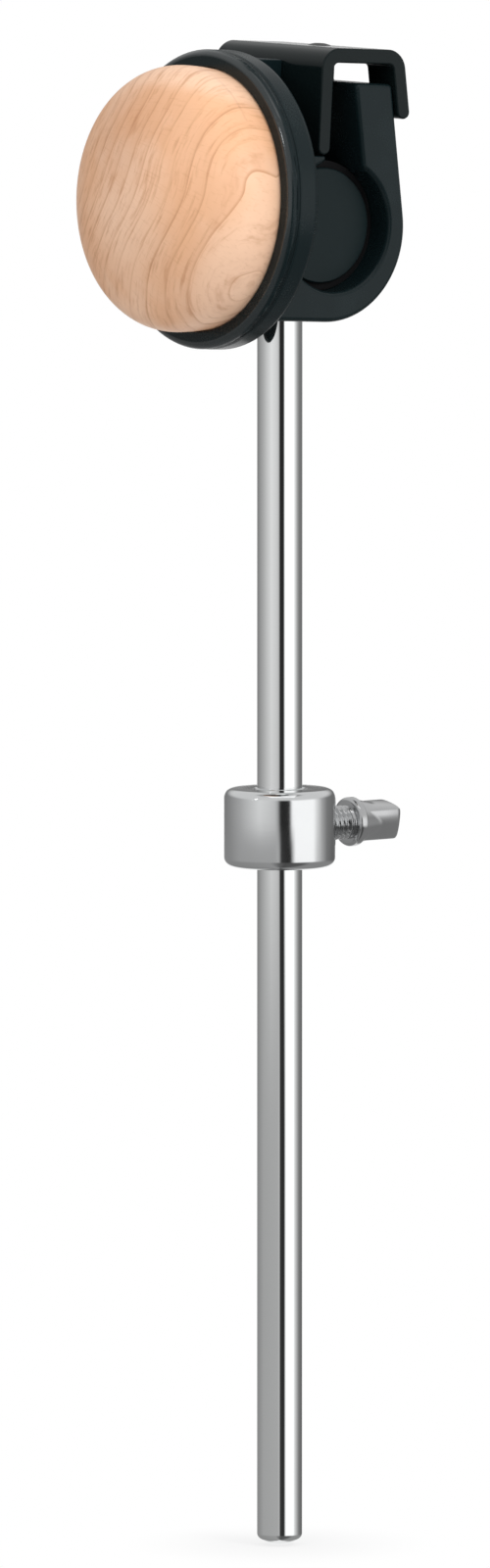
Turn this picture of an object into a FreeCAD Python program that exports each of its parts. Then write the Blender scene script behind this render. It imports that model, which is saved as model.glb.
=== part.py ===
"""Bass drum beater: a domed wooden striker in a tilting head, on a plain steel rod with a sliding collar.

Millimetres, +Z up the rod, -Y the way the beater strikes, +X along the pivot of the head.
The origin is on the rod's axis, at the lower end of its full-diameter shank.
"""

import FreeCAD, Part
import os

import Sketcher

# Driving dimensions, in millimetres, with angles in degrees
DIMENSIONS = {
    # Rod
    "rod_diameter": 8.0,
    "rod_tip_round": 1.25,
    "rod_tip_dome": 0.9,
    "rod_mark_width": 1.2,
    "rod_mark_depth": 0.25,
    # Pivot: where its axis lies and how the head stands on it
    "pivot_height": 231.8,
    "pivot_setback": 1.2,
    "head_tilt": 3.5,
    "tilt_stop": 8.0,
    # Barrel across the top of the rod, with its rubber bush
    "barrel_radius": 10.1,
    "barrel_length": 21.3,
    "barrel_edge": 0.2,
    "rod_stop_rise": 2.0,
    "screw_seat_rise": 4.5,
    "bush_wall": 1.3,
    "bush_length": 19.6,
    "pivot_clearance": 0.08,
    # Screw and washer that hold the rod in the barrel
    "rod_screw_radius": 2.0,
    "rod_screw_length": 12.0,
    "rod_screw_head_radius": 3.5,
    "rod_screw_head_height": 4.0,
    "rod_screw_hex_key": 3.0,
    "rod_screw_hex_depth": 2.0,
    "rod_tap_spare_depth": 1.5,
    "washer_thickness": 0.9,
    "washer_split": 0.6,
    # Cup that holds the striker
    "cup_back_reach": 12.7,
    "cup_floor": 3.0,
    "cup_depth": 3.6,
    "cup_wall": 3.15,
    "cup_rise": 3.65,
    "cup_back_round": 1.4,
    "cup_lip_round": 1.3,
    "cup_groove_width": 0.8,
    "cup_groove_depth": 0.4,
    "cup_groove_from_lip": 2.0,
    # Cradle round the barrel, and its rear arm
    "cradle_width": 30.0,
    "cradle_floor": 5.3,
    "cradle_back": 3.55,
    "cradle_round_drop": 0.5,
    "cradle_edge_round": 0.9,
    "channel_edge": 0.6,
    "slot_front_reach": 3.4,
    "slot_front_height": 0.8,
    "slot_clearance": 0.35,
    "arm_lean": 10.0,
    "arm_thickness": 8.0,
    "arm_top": 25.2,
    "spine_width": 8.0,
    "boss_radius": 2.8,
    "boss_margin": 0.3,
    # Striker
    "seat_radius": 23.0,
    "striker_clearance": 0.1,
    "striker_swell": 0.35,
    "striker_belly": 4.6,
    "striker_crown": 13.7,
    "striker_edge_radius": 9.3,
    # Screws from the cup's back into the striker
    "striker_screw_radius": 1.25,
    "striker_screw_grip": 9.0,
    "striker_screw_inset": 2.8,
    "striker_screw_head_radius": 2.4,
    "striker_screw_head_height": 1.6,
    "striker_screw_gap": 0.4,
    "pilot_spare_depth": 1.0,
    # Steel bracket over the arm, with its screw and insert
    "bracket_width": 31.0,
    "bracket_thickness": 2.6,
    "bracket_bend": 1.2,
    "bracket_leg_reach": 5.4,
    "bracket_leg_drop": 18.7,
    "bracket_gap": 3.45,
    "bracket_tab_drop": 12.1,
    "bracket_tab_width": 7.8,
    "bracket_tab_gap": 0.2,
    "bracket_end_round": 1.2,
    "bracket_screw_radius": 1.5,
    "bracket_screw_length": 10.0,
    "bracket_screw_head_radius": 2.1,
    "bracket_screw_head_height": 0.4,
    "bracket_screw_hex_key": 1.5,
    "bracket_screw_hex_depth": 1.1,
    "insert_radius": 2.1,
    "insert_length": 6.0,
    # Cross recess in the striker's screws
    "recess_width": 0.7,
    "recess_span": 2.7,
    "recess_depth": 0.9,
    # Collar
    "collar_height": 118.35,
    "collar_radius": 9.85,
    "collar_length": 13.7,
    "collar_edge_round": 1.6,
    "collar_countersink": 0.6,
    "collar_clearance": 0.1,
    # Key screw in the collar: its square head tapers out of a round flange
    "key_thread_radius": 3.0,
    "key_thread_pitch": 1.0,
    "key_thread_depth": 0.5,
    "key_thread_crest": 0.12,
    "key_thread_clearance": 0.06,
    "key_tip_gap": 0.15,
    "key_tip_chamfer": 0.6,
    "key_standout": 5.0,
    "key_flange_rim": 0.35,
    "key_flange_thickness": 1.75,
    "key_flange_round": 0.7,
    "key_neck_length": 4.4,
    "key_neck_taper": 13.0,
    "key_head_radius": 4.0,
    "key_head_length": 8.35,
    "key_head_flats": 6.3,
    "key_head_turn": 33.0,
    "key_head_round": 1.2,
    # Fits between pieces that do not move on each other, and how far a cut runs past a face
    "snug": 0.03,
    "hole_clearance": 0.2,
    "overcut": 1.0,
}

X_AXIS = FreeCAD.Vector(1, 0, 0)
Z_AXIS = FreeCAD.Vector(0, 0, 1)
FULL_TURN = 360
# Places closer than this, in millimetres, count as one
TOLERANCE = 1e-4

# Sizes that follow from the driving ones, as expressions
ROD_RADIUS = "(dims.rod_diameter / 2)"
ROD_TOP = "(dims.pivot_height + dims.rod_stop_rise)"
SCREW_HEAD_SEAT = "(dims.screw_seat_rise + dims.washer_thickness)"
ROD_TAP_DEPTH = (
    f"(dims.rod_screw_length - {SCREW_HEAD_SEAT} + dims.rod_stop_rise + dims.rod_tap_spare_depth)"
)
COUNTERBORE_RADIUS = "(dims.rod_screw_head_radius + dims.hole_clearance)"
BUSH_RADIUS = "(dims.barrel_radius + dims.bush_wall)"
CHANNEL_RADIUS = f"({BUSH_RADIUS} + dims.pivot_clearance)"
ROUND_RADIUS = f"({CHANNEL_RADIUS} + dims.cradle_floor - dims.cradle_round_drop)"
ROUND_Y = f"(dims.cradle_back + {CHANNEL_RADIUS} - {ROUND_RADIUS})"
CRADLE_BOTTOM = f"(-{CHANNEL_RADIUS} - dims.cradle_floor)"
CRADLE_FRONT_TOP = f"({CHANNEL_RADIUS} + dims.slot_front_height)"
CRADLE_FRONT = "(-dims.cup_back_reach - dims.cup_floor / 2)"
LEAN = "(dims.arm_lean * 1 deg)"
LEAN_Y = f"({ROUND_Y} + {ROUND_RADIUS} * cos({LEAN}))"
LEAN_Z = f"({ROUND_RADIUS} * sin({LEAN}) - dims.cradle_round_drop)"
SLOT_FLOOR = f"({CHANNEL_RADIUS} / 2)"
ROD_SWING = f"(-{CRADLE_BOTTOM} * sin(dims.tilt_stop * 1 deg))"
ROD_SWING_ROOM = f"({ROD_SWING} + {ROD_RADIUS} + dims.slot_clearance)"
CUP_FLOOR_Y = "(-dims.cup_back_reach - dims.cup_floor)"
CUP_LIP_Y = f"({CUP_FLOOR_Y} - dims.cup_depth)"
CUP_INNER_RADIUS = "(dims.seat_radius + dims.striker_clearance)"
CUP_RADIUS = f"({CUP_INNER_RADIUS} + dims.cup_wall)"
STRIKER_RADIUS = "(dims.seat_radius + dims.striker_swell)"
BRACKET_UNDER = "(dims.arm_top + dims.bracket_gap)"
BRACKET_TOP = f"({BRACKET_UNDER} + dims.bracket_thickness)"
SCREW_CIRCLE = "(dims.seat_radius - dims.striker_screw_inset)"
SCREW_ROOM = "(dims.striker_screw_head_radius + dims.striker_screw_gap)"
LOW_SCREW_Z = f"({CRADLE_FRONT_TOP} + {SCREW_ROOM} - dims.cup_rise)"
HIGH_SCREW_X = f"(dims.spine_width / 2 + {SCREW_ROOM})"
KEY_FLANGE_Y = "(dims.collar_radius + dims.key_standout)"
KEY_FLANGE_RADIUS = "(dims.key_head_radius + dims.key_flange_rim)"
KEY_NECK_Y = f"({KEY_FLANGE_Y} + dims.key_flange_thickness)"
KEY_TIP_Y = f"({ROD_RADIUS} + dims.key_tip_gap)"


def arm_back(height, beyond="0"):
    """Y of the arm's leaning rear face at a height above the pivot, or of a plane parallel to it beyond."""
    return f"({LEAN_Y} - ({height} - {LEAN_Z}) * tan({LEAN}) + ({beyond}) / cos({LEAN}))"


def on_screw_circle(reach):
    """How far across the circle of the striker's screws lies from its centre, at a reach the other way."""
    return f"sqrt({SCREW_CIRCLE} ^ 2 - {reach} ^ 2)"


def crowned(radius, corner, height):
    """A crown on a turned end, which meets the round corner's arc without an edge.

    The corner's arc starts at the given radius, square to the axis, and the crown has the given height on
    the axis. Returns the crown's radius, and where the two arcs meet: out from the axis, and along it.
    """
    inset = f"({radius} - {corner})"
    crown = f"((({height}) ^ 2 + {inset} ^ 2 - {corner} ^ 2) / (({height}) - {corner}) / 2)"
    between = f"({crown} - {corner})"
    out = f"({inset} * (1 + {corner} / {between}))"
    along = f"({corner} * ({crown} - ({height})) / {between})"
    return crown, out, along


ARM_FRONT_TOP = arm_back("dims.arm_top", "-dims.arm_thickness")
BOSS_Y = f"({ARM_FRONT_TOP} + dims.boss_radius + dims.boss_margin)"
# The striker's screws, from the cup's axis: a pair just above the cradle, and a pair beside the spine
SCREW_SPOTS = [
    (f"{side} * {x}", z)
    for x, z in [
        (on_screw_circle(LOW_SCREW_Z), LOW_SCREW_Z),
        (HIGH_SCREW_X, on_screw_circle(HIGH_SCREW_X)),
    ]
    for side in (-1, 1)
]

doc = FreeCAD.newDocument("bass_drum_beater")
sheet = doc.addObject("Spreadsheet::Sheet", "dims")
for row, (alias, size) in enumerate(DIMENSIONS.items(), start=1):
    sheet.set(f"A{row}", alias)
    sheet.set(f"B{row}", str(size))
    sheet.setAlias(f"B{row}", alias)
doc.recompute()


def number(expression):
    """The present value of an expression on the sheet."""
    return float(sheet.evalExpression(str(expression)))


# Bodies, sketches and features


def new_body(label, base=None, tilted=False):
    """A body, placed by expressions for its base point and, on the head, by the head's tilt."""
    body = doc.addObject("PartDesign::Body", label)
    body.Label = label
    if tilted:
        turn = FreeCAD.Rotation(X_AXIS, -number("dims.head_tilt"))
        body.Placement = FreeCAD.Placement(FreeCAD.Vector(), turn)
        body.setExpression("Placement.Rotation.Angle", "-dims.head_tilt * 1 deg")
    for axis, expression in (base or {}).items():
        body.setExpression(f"Placement.Base.{axis}", expression)
    return body


PIVOT = {"y": "dims.pivot_setback", "z": "dims.pivot_height"}


def head_body(label):
    """A body of the tilting head, with its own origin on the pivot axis."""
    return new_body(label, PIVOT, tilted=True)


def new_sketch(body, name, role, offset=None):
    """A sketch on one of the body's origin planes, moved by expressions in the sketch's own axes."""
    sketch = body.newObject("Sketcher::SketchObject", name)
    plane = next(o for o in body.Origin.OriginFeatures if o.Role == role)
    sketch.AttachmentSupport = [(plane, "")]
    sketch.MapMode = "FlatFace"
    for axis, expression in (offset or {}).items():
        sketch.setExpression(f"AttachmentOffset.Base.{axis}", expression)
    return sketch


def bind(sketch, constraint, expression):
    """Add a constraint and tie its value to an expression."""
    index = sketch.addConstraint(constraint)
    name = f"size_{index}"
    sketch.renameConstraint(index, name)
    sketch.setExpression(f"Constraints.{name}", expression)


def arc_between(start, end, radius):
    """The minor arc from start to end that turns left."""
    chord = end - start
    half = chord.Length / 2
    inward = Z_AXIS.cross(chord).normalize()
    centre = (start + end) / 2 + inward * (radius**2 - half**2) ** 0.5
    middle = centre + ((start + end) / 2 - centre).normalize() * radius
    return Part.Arc(start, middle, end)


def outline(sketch, corners):
    """Draw a closed outline, anticlockwise. A corner is (x, y), or (x, y, radius) if an arc leaves it."""
    points = [FreeCAD.Vector(number(c[0]), number(c[1]), 0) for c in corners]
    edges = []
    for corner, start, end in zip(corners, points, points[1:] + points[:1]):
        if len(corner) == 3:
            edges.append(sketch.addGeometry(arc_between(start, end, number(corner[2]))))
        else:
            edges.append(sketch.addGeometry(Part.LineSegment(start, end)))
    for edge, following in zip(edges, edges[1:] + edges[:1]):
        sketch.addConstraint(Sketcher.Constraint("Coincident", edge, 2, following, 1))
    for edge, corner, point in zip(edges, corners, points):
        bind(sketch, Sketcher.Constraint("DistanceX", -1, 1, edge, 1, point.x), corner[0])
        bind(sketch, Sketcher.Constraint("DistanceY", -1, 1, edge, 1, point.y), corner[1])
        if len(corner) == 3:
            bind(sketch, Sketcher.Constraint("Radius", edge, number(corner[2])), corner[2])


def rectangle(sketch, left, bottom, right, top):
    """A rectangle between four expressions."""
    outline(sketch, [(left, bottom), (right, bottom), (right, top), (left, top)])


def circle(sketch, x, y, radius):
    """A circle at expressions for its centre and radius."""
    centre = FreeCAD.Vector(number(x), number(y), 0)
    edge = sketch.addGeometry(Part.Circle(centre, Z_AXIS, number(radius)))
    bind(sketch, Sketcher.Constraint("DistanceX", -1, 1, edge, 3, centre.x), x)
    bind(sketch, Sketcher.Constraint("DistanceY", -1, 1, edge, 3, centre.y), y)
    bind(sketch, Sketcher.Constraint("Radius", edge, number(radius)), radius)


def regular_outline(sketch, sides, across_flats, turn="0"):
    """A regular polygon round the sketch's origin, given across its flats."""
    step = FULL_TURN / sides
    reach = f"{across_flats} / 2 / cos({step / 2} deg)"
    angles = [f"({side * step} + {turn}) * 1 deg" for side in range(sides)]
    outline(sketch, [(f"{reach} * cos({a})", f"{reach} * sin({a})") for a in angles])


def cross_outline(sketch, x, y):
    """The outline of a cross recess, centred on two expressions."""
    arm = "dims.recess_span / 2"
    half = "dims.recess_width / 2"
    quarter = [(arm, f"-{half}"), (arm, half), (half, half)]
    corners = []
    for _ in range(4):
        corners += [(f"{x} + ({a})", f"{y} + ({b})") for a, b in quarter]
        quarter = [(f"-({b})", a) for a, b in quarter]
    outline(sketch, corners)


def axis_line(sketch, at, vertical):
    """A construction line to turn a profile round: vertical at x, or level at y."""
    place = number(at)
    reach = number("dims.overcut")
    ends = [(place, -reach), (place, reach)] if vertical else [(-reach, place), (reach, place)]
    line = sketch.addGeometry(Part.LineSegment(*[FreeCAD.Vector(x, y, 0) for x, y in ends]), True)
    sketch.addConstraint(Sketcher.Constraint("Vertical" if vertical else "Horizontal", line))
    kind = "DistanceX" if vertical else "DistanceY"
    bind(sketch, Sketcher.Constraint(kind, -1, 1, line, 1, place), at)
    return "Axis0"


def checked_cut(feature):
    """Recompute, and make sure that a cut has taken material away."""
    before = feature.BaseFeature.Shape.Volume
    doc.recompute()
    if not feature.Shape.Volume < before:
        raise RuntimeError(f"{feature.Label} cuts nothing")
    return feature


def pad(body, sketch, length, symmetric=False, backwards=False):
    """Extrude a sketch along its normal, to both sides alike or backwards."""
    feature = body.newObject("PartDesign::Pad", f"{sketch.Name}_pad")
    feature.Profile = sketch
    feature.setExpression("Length", length)
    feature.SideType = "Symmetric" if symmetric else "One side"
    feature.Reversed = backwards
    doc.recompute()
    return feature


def pocket(body, sketch, length=None, symmetric=False, forwards=False):
    """Cut a sketch against its normal, or along it, to a length or right through."""
    feature = body.newObject("PartDesign::Pocket", f"{sketch.Name}_pocket")
    feature.Profile = sketch
    feature.Type = "Length" if length else "ThroughAll"
    if length:
        feature.setExpression("Length", length)
    feature.SideType = "Symmetric" if symmetric else "One side"
    feature.Reversed = forwards
    return checked_cut(feature)


def turned(body, sketch, axis):
    """Revolve a sketch about one of its axes."""
    feature = body.newObject("PartDesign::Revolution", f"{sketch.Name}_turned")
    feature.Profile = sketch
    feature.ReferenceAxis = (sketch, [axis])
    feature.Angle = FULL_TURN
    doc.recompute()
    return feature


def bored(body, sketch, axis):
    """Cut a revolved sketch out of the body."""
    feature = body.newObject("PartDesign::Groove", f"{sketch.Name}_bored")
    feature.Profile = sketch
    feature.ReferenceAxis = (sketch, [axis])
    feature.Angle = FULL_TURN
    return checked_cut(feature)


def edges_where(feature, wanted):
    """The names of a feature's edges that pass a test."""
    return [f"Edge{n}" for n, edge in enumerate(feature.Shape.Edges, start=1) if wanted(edge)]


def dressed(body, kind, feature, wanted, size):
    """Fillet or chamfer the edges of a feature that pass a test."""
    edges = edges_where(feature, wanted)
    if not edges:
        raise RuntimeError(f"{feature.Label} has no such edge")
    dressing = body.newObject(f"PartDesign::{kind}", f"{feature.Name}_{kind.lower()}")
    dressing.Base = (feature, edges)
    dressing.setExpression("Radius" if kind == "Fillet" else "Size", size)
    doc.recompute()
    return dressing


def repeated_along(body, original, axis, count, span):
    """Repeat a feature along an axis, a number of times over a span."""
    feature = body.newObject("PartDesign::LinearPattern", f"{original.Name}_row")
    feature.Originals = [original]
    feature.Direction = axis
    feature.setExpression("Occurrences", count)
    feature.setExpression("Length", span)
    body.Tip = feature
    doc.recompute()


def along_x_at(y, z):
    """A test for a straight edge along X at expressions for y and z, in the body's own frame."""
    place = FreeCAD.Vector(0, number(y), number(z))

    def wanted(edge):
        ends = [vertex.Point for vertex in edge.Vertexes]
        flat = [FreeCAD.Vector(0, p.y, p.z) for p in ends]
        return len(ends) == 2 and all(p.distanceToPoint(place) < TOLERANCE for p in flat)

    return wanted


def on_side(half_width, wanted=lambda centre: True):
    """A test for an edge lying in one of the two side planes at plus or minus an expression."""
    side = number(half_width)

    def tested(edge):
        box = edge.BoundBox
        flat = box.XLength < TOLERANCE and abs(abs(box.Center.x) - side) < TOLERANCE
        return flat and wanted(edge.CenterOfMass)

    return tested


# Rod and its collar


def make_rod():
    """Chromed steel rod: domed tip, a fine turned mark at the collar's height, a tapped upper end."""
    body = new_body("rod")
    sketch = new_sketch(body, "rod_profile", "XZ_Plane")
    tip = "dims.rod_tip_round + dims.rod_tip_dome"
    dome_radius, dome_out, dome_along = crowned(ROD_RADIUS, "dims.rod_tip_round", tip)
    tap = "dims.rod_screw_radius + dims.snug"
    mark_floor = f"{ROD_RADIUS} - dims.rod_mark_depth"
    mark_top = "dims.collar_height + dims.rod_mark_width"
    tap_floor = f"{ROD_TOP} - {ROD_TAP_DEPTH}"
    outline(
        sketch,
        [
            ("0", f"-({tip})", dome_radius),
            (dome_out, f"-{dome_along}", "dims.rod_tip_round"),
            (ROD_RADIUS, "0"),
            (ROD_RADIUS, "dims.collar_height"),
            (mark_floor, "dims.collar_height"),
            (mark_floor, mark_top),
            (ROD_RADIUS, mark_top),
            (ROD_RADIUS, ROD_TOP),
            (tap, ROD_TOP),
            (tap, tap_floor),
            ("0", tap_floor),
        ],
    )
    turned(body, sketch, "V_Axis")
    return body


def make_memory_collar():
    """Plain ring with rounded edges and a tapped side hole to the rear."""
    body = new_body("memory_collar", {"z": "dims.collar_height"})
    sketch = new_sketch(body, "collar_profile", "XZ_Plane")
    bore = f"{ROD_RADIUS} + dims.collar_clearance"
    mouth = f"{bore} + dims.collar_countersink"
    edge = "dims.collar_edge_round"
    rim = f"dims.collar_radius - {edge}"
    outline(
        sketch,
        [
            (mouth, "0"),
            (rim, "0", edge),
            ("dims.collar_radius", edge),
            ("dims.collar_radius", f"dims.collar_length - {edge}", edge),
            (rim, "dims.collar_length"),
            (mouth, "dims.collar_length"),
            (bore, "dims.collar_length - dims.collar_countersink"),
            (bore, "dims.collar_countersink"),
        ],
    )
    turned(body, sketch, "V_Axis")
    hole = new_sketch(body, "collar_hole", "XZ_Plane")
    circle(hole, "0", "dims.collar_length / 2", "dims.key_thread_radius + dims.key_thread_clearance")
    pocket(body, hole)
    return body


def make_key_screw():
    """Key screw: threaded shank, round flange and a square head whose corners are turned round."""
    body = new_body("key_screw", {"z": "dims.collar_height + dims.collar_length / 2"})
    sketch = new_sketch(body, "key_profile", "YZ_Plane")
    head_end = f"{KEY_NECK_Y} + dims.key_head_length"
    rim = "dims.key_flange_rim"
    outline(
        sketch,
        [
            (KEY_TIP_Y, "0"),
            (head_end, "0"),
            (head_end, "dims.key_head_radius - dims.key_head_round", "dims.key_head_round"),
            (f"{head_end} - dims.key_head_round", "dims.key_head_radius"),
            (KEY_NECK_Y, "dims.key_head_radius", rim),
            (f"{KEY_NECK_Y} - {rim}", KEY_FLANGE_RADIUS),
            (f"{KEY_FLANGE_Y} + dims.key_flange_round", KEY_FLANGE_RADIUS, "dims.key_flange_round"),
            (KEY_FLANGE_Y, f"{KEY_FLANGE_RADIUS} - dims.key_flange_round"),
            (KEY_FLANGE_Y, "dims.key_thread_radius"),
            (f"{KEY_TIP_Y} + dims.key_tip_chamfer", "dims.key_thread_radius"),
            (KEY_TIP_Y, "dims.key_thread_radius - dims.key_tip_chamfer"),
        ],
    )
    turned(body, sketch, "H_Axis")
    flats = new_sketch(body, "key_flats", "XZ_Plane", {"z": f"-{KEY_NECK_Y}"})
    circle(flats, "0", "0", "dims.key_head_radius + dims.overcut")
    regular_outline(flats, 4, "dims.key_head_flats", "dims.key_head_turn")
    pocket(body, flats)
    neck = new_sketch(body, "key_neck", "YZ_Plane")
    neck_end = f"{KEY_NECK_Y} + dims.key_neck_length"
    outline(
        neck,
        [
            (KEY_NECK_Y, "0"),
            (neck_end, "0"),
            (neck_end, "dims.key_head_radius - dims.key_neck_length * tan(dims.key_neck_taper * 1 deg)"),
            (KEY_NECK_Y, "dims.key_head_radius"),
        ],
    )
    turned(body, neck, "H_Axis")
    thread = new_sketch(body, "key_thread", "YZ_Plane")
    first = f"{KEY_TIP_Y} + dims.key_tip_chamfer"
    half = "(dims.key_thread_pitch - dims.key_thread_crest) / 2"
    outline(
        thread,
        [
            (first, "dims.key_thread_radius"),
            (f"{first} + {half}", "dims.key_thread_radius - dims.key_thread_depth"),
            (f"{first} + 2 * {half}", "dims.key_thread_radius"),
        ],
    )
    groove = bored(body, thread, "H_Axis")
    turns = f"floor(({KEY_FLANGE_Y} - {first}) / dims.key_thread_pitch)"
    repeated_along(body, groove, (thread, ["H_Axis"]), turns, f"dims.key_thread_pitch * ({turns} - 1)")
    return body


# Pivot at the rod's top


def make_pivot_barrel():
    """Barrel across the rod's top: bored from below for the rod, counterbored from above for its screw."""
    body = new_body("pivot_barrel", PIVOT)
    section = new_sketch(body, "barrel_section", "YZ_Plane")
    circle(section, "0", "0", "dims.barrel_radius")
    barrel = pad(body, section, "dims.barrel_length", symmetric=True)
    dressed(body, "Chamfer", barrel, on_side("dims.barrel_length / 2"), "dims.barrel_edge")
    bore = new_sketch(body, "barrel_bore", "YZ_Plane")
    centre = "-dims.pivot_setback"
    outside = "dims.barrel_radius + dims.overcut"
    for_rod = f"{centre} + {ROD_RADIUS} + dims.snug"
    for_shank = f"{centre} + dims.rod_screw_radius + dims.hole_clearance"
    for_head = f"{centre} + {COUNTERBORE_RADIUS}"
    outline(
        bore,
        [
            (centre, f"-({outside})"),
            (for_rod, f"-({outside})"),
            (for_rod, "dims.rod_stop_rise"),
            (for_shank, "dims.rod_stop_rise"),
            (for_shank, "dims.screw_seat_rise"),
            (for_head, "dims.screw_seat_rise"),
            (for_head, outside),
            (centre, outside),
        ],
    )
    bored(body, bore, axis_line(bore, centre, vertical=True))
    return body


def make_pivot_bush():
    """Rubber sleeve round the barrel that the head turns on, with holes for the rod and its screw."""
    body = new_body("pivot_bush", PIVOT)
    section = new_sketch(body, "bush_section", "YZ_Plane")
    circle(section, "0", "0", BUSH_RADIUS)
    circle(section, "0", "0", "dims.barrel_radius + dims.snug")
    pad(body, section, "dims.bush_length", symmetric=True)
    holes = new_sketch(body, "bush_holes", "YZ_Plane")
    centre = "-dims.pivot_setback"
    outside = f"{BUSH_RADIUS} + dims.overcut"
    outline(
        holes,
        [
            (centre, f"-({outside})"),
            (f"{centre} + {ROD_RADIUS} + dims.snug", f"-({outside})"),
            (f"{centre} + {ROD_RADIUS} + dims.snug", "0"),
            (f"{centre} + {COUNTERBORE_RADIUS}", "0"),
            (f"{centre} + {COUNTERBORE_RADIUS}", outside),
            (centre, outside),
        ],
    )
    bored(body, holes, axis_line(holes, centre, vertical=True))
    return body


def make_lock_washer():
    """Split washer under the rod screw's head."""
    body = new_body("lock_washer", {"z": "dims.pivot_height + dims.screw_seat_rise"})
    ring = new_sketch(body, "washer_ring", "XY_Plane")
    circle(ring, "0", "0", "dims.rod_screw_head_radius")
    circle(ring, "0", "0", "dims.rod_screw_radius + dims.hole_clearance")
    pad(body, ring, "dims.washer_thickness")
    split = new_sketch(body, "washer_split", "XY_Plane")
    half = "dims.washer_split / 2"
    rectangle(split, f"-{half}", "0", half, "dims.rod_screw_head_radius + dims.overcut")
    pocket(body, split, forwards=True)
    return body


def make_rod_screw():
    """Socket screw through the barrel into the rod's tapped end."""
    body = new_body("rod_screw", {"z": f"dims.pivot_height + {SCREW_HEAD_SEAT}"})
    sketch = new_sketch(body, "rod_screw_profile", "XZ_Plane")
    outline(
        sketch,
        [
            ("0", "-dims.rod_screw_length"),
            ("dims.rod_screw_radius", "-dims.rod_screw_length"),
            ("dims.rod_screw_radius", "0"),
            ("dims.rod_screw_head_radius", "0"),
            ("dims.rod_screw_head_radius", "dims.rod_screw_head_height"),
            ("0", "dims.rod_screw_head_height"),
        ],
    )
    turned(body, sketch, "V_Axis")
    socket = new_sketch(body, "rod_screw_socket", "XY_Plane", {"z": "dims.rod_screw_head_height"})
    regular_outline(socket, 6, "dims.rod_screw_hex_key")
    pocket(body, socket, "dims.rod_screw_hex_depth")
    return body


# Head


def in_channel(centre):
    """A test for a point on the rim of the channel."""
    return (centre.y**2 + centre.z**2) ** 0.5 < number(CHANNEL_RADIUS)


def make_head_shell():
    """Black moulding: a cup for the striker, and a cradle that wraps the barrel and rises into an arm."""
    body = head_body("head_shell")
    cradle = new_sketch(body, "cradle_outline", "YZ_Plane")
    slot_front = "-dims.slot_front_reach"
    outline(
        cradle,
        [
            (CRADLE_FRONT, CRADLE_BOTTOM),
            (ROUND_Y, CRADLE_BOTTOM, ROUND_RADIUS),
            (LEAN_Y, LEAN_Z),
            (arm_back("dims.arm_top"), "dims.arm_top"),
            (ARM_FRONT_TOP, "dims.arm_top"),
            (arm_back(SLOT_FLOOR, "-dims.arm_thickness"), SLOT_FLOOR),
            (slot_front, SLOT_FLOOR),
            (slot_front, CRADLE_FRONT_TOP),
            (CRADLE_FRONT, CRADLE_FRONT_TOP),
        ],
    )
    block = pad(body, cradle, "dims.cradle_width", symmetric=True)

    def outer_edge(centre):
        """Edges of the cradle's sides away from the cup, the slot and the channel."""
        beyond_slot = centre.y > number(slot_front) or centre.z < number(CRADLE_BOTTOM) + TOLERANCE
        above_slot = centre.z > number(SLOT_FLOOR) + TOLERANCE or centre.z < 0
        return beyond_slot and above_slot

    tests = [
        on_side("dims.cradle_width / 2", outer_edge),
        along_x_at(arm_back("dims.arm_top"), "dims.arm_top"),
        along_x_at(ARM_FRONT_TOP, "dims.arm_top"),
    ]
    dressed(body, "Fillet", block, lambda edge: any(t(edge) for t in tests), "dims.cradle_edge_round")
    channel = new_sketch(body, "channel", "YZ_Plane")
    circle(channel, "0", "0", CHANNEL_RADIUS)
    bore = pocket(body, channel, symmetric=True)
    dressed(body, "Chamfer", bore, on_side("dims.cradle_width / 2", in_channel), "dims.channel_edge")
    add_spine_and_boss(body)
    add_cup(body)
    floor_slot = new_sketch(body, "floor_slot", "XY_Plane", {"z": CRADLE_BOTTOM})
    half_width = f"({ROD_RADIUS} + dims.slot_clearance)"
    rectangle(
        floor_slot,
        f"-{half_width}",
        f"-dims.pivot_setback - {ROD_SWING_ROOM}",
        half_width,
        f"-dims.pivot_setback + {ROD_SWING_ROOM}",
    )
    pocket(body, floor_slot, f"-{CRADLE_BOTTOM}", forwards=True)
    cut_screw_holes(body)
    return body


def add_spine_and_boss(body):
    """The rib that carries the bracket's leg, and the boss on the arm that its screw goes into."""
    spine = new_sketch(body, "spine", "YZ_Plane")
    spine_foot = f"{CRADLE_FRONT_TOP} - dims.overcut"
    rectangle(spine, CRADLE_FRONT, spine_foot, "-dims.bracket_leg_reach", BRACKET_UNDER)
    pad(body, spine, "dims.spine_width", symmetric=True)
    boss = new_sketch(body, "boss", "XY_Plane", {"z": "dims.arm_top - dims.overcut"})
    circle(boss, "0", BOSS_Y, "dims.boss_radius")
    pad(body, boss, "dims.bracket_gap + dims.overcut")


def add_cup(body):
    """The round cup, with a rounded lip and a fine groove behind it."""
    cup = new_sketch(body, "cup_profile", "YZ_Plane")
    back = "-dims.cup_back_reach"
    rim = f"dims.cup_rise + {CUP_RADIUS}"
    inside = f"dims.cup_rise + {CUP_INNER_RADIUS}"
    groove = f"{CUP_LIP_Y} + dims.cup_groove_from_lip"
    outline(
        cup,
        [
            (CUP_FLOOR_Y, "dims.cup_rise"),
            (back, "dims.cup_rise"),
            (back, f"{rim} - dims.cup_back_round", "dims.cup_back_round"),
            (f"{back} - dims.cup_back_round", rim),
            (f"{groove} + dims.cup_groove_width / 2", rim),
            (groove, f"{rim} - dims.cup_groove_depth"),
            (f"{groove} - dims.cup_groove_width / 2", rim),
            (f"{CUP_LIP_Y} + dims.cup_lip_round", rim, "dims.cup_lip_round"),
            (CUP_LIP_Y, f"{rim} - dims.cup_lip_round"),
            (CUP_LIP_Y, inside),
            (CUP_FLOOR_Y, inside),
        ],
    )
    turned(body, cup, axis_line(cup, "dims.cup_rise", vertical=False))


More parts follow.
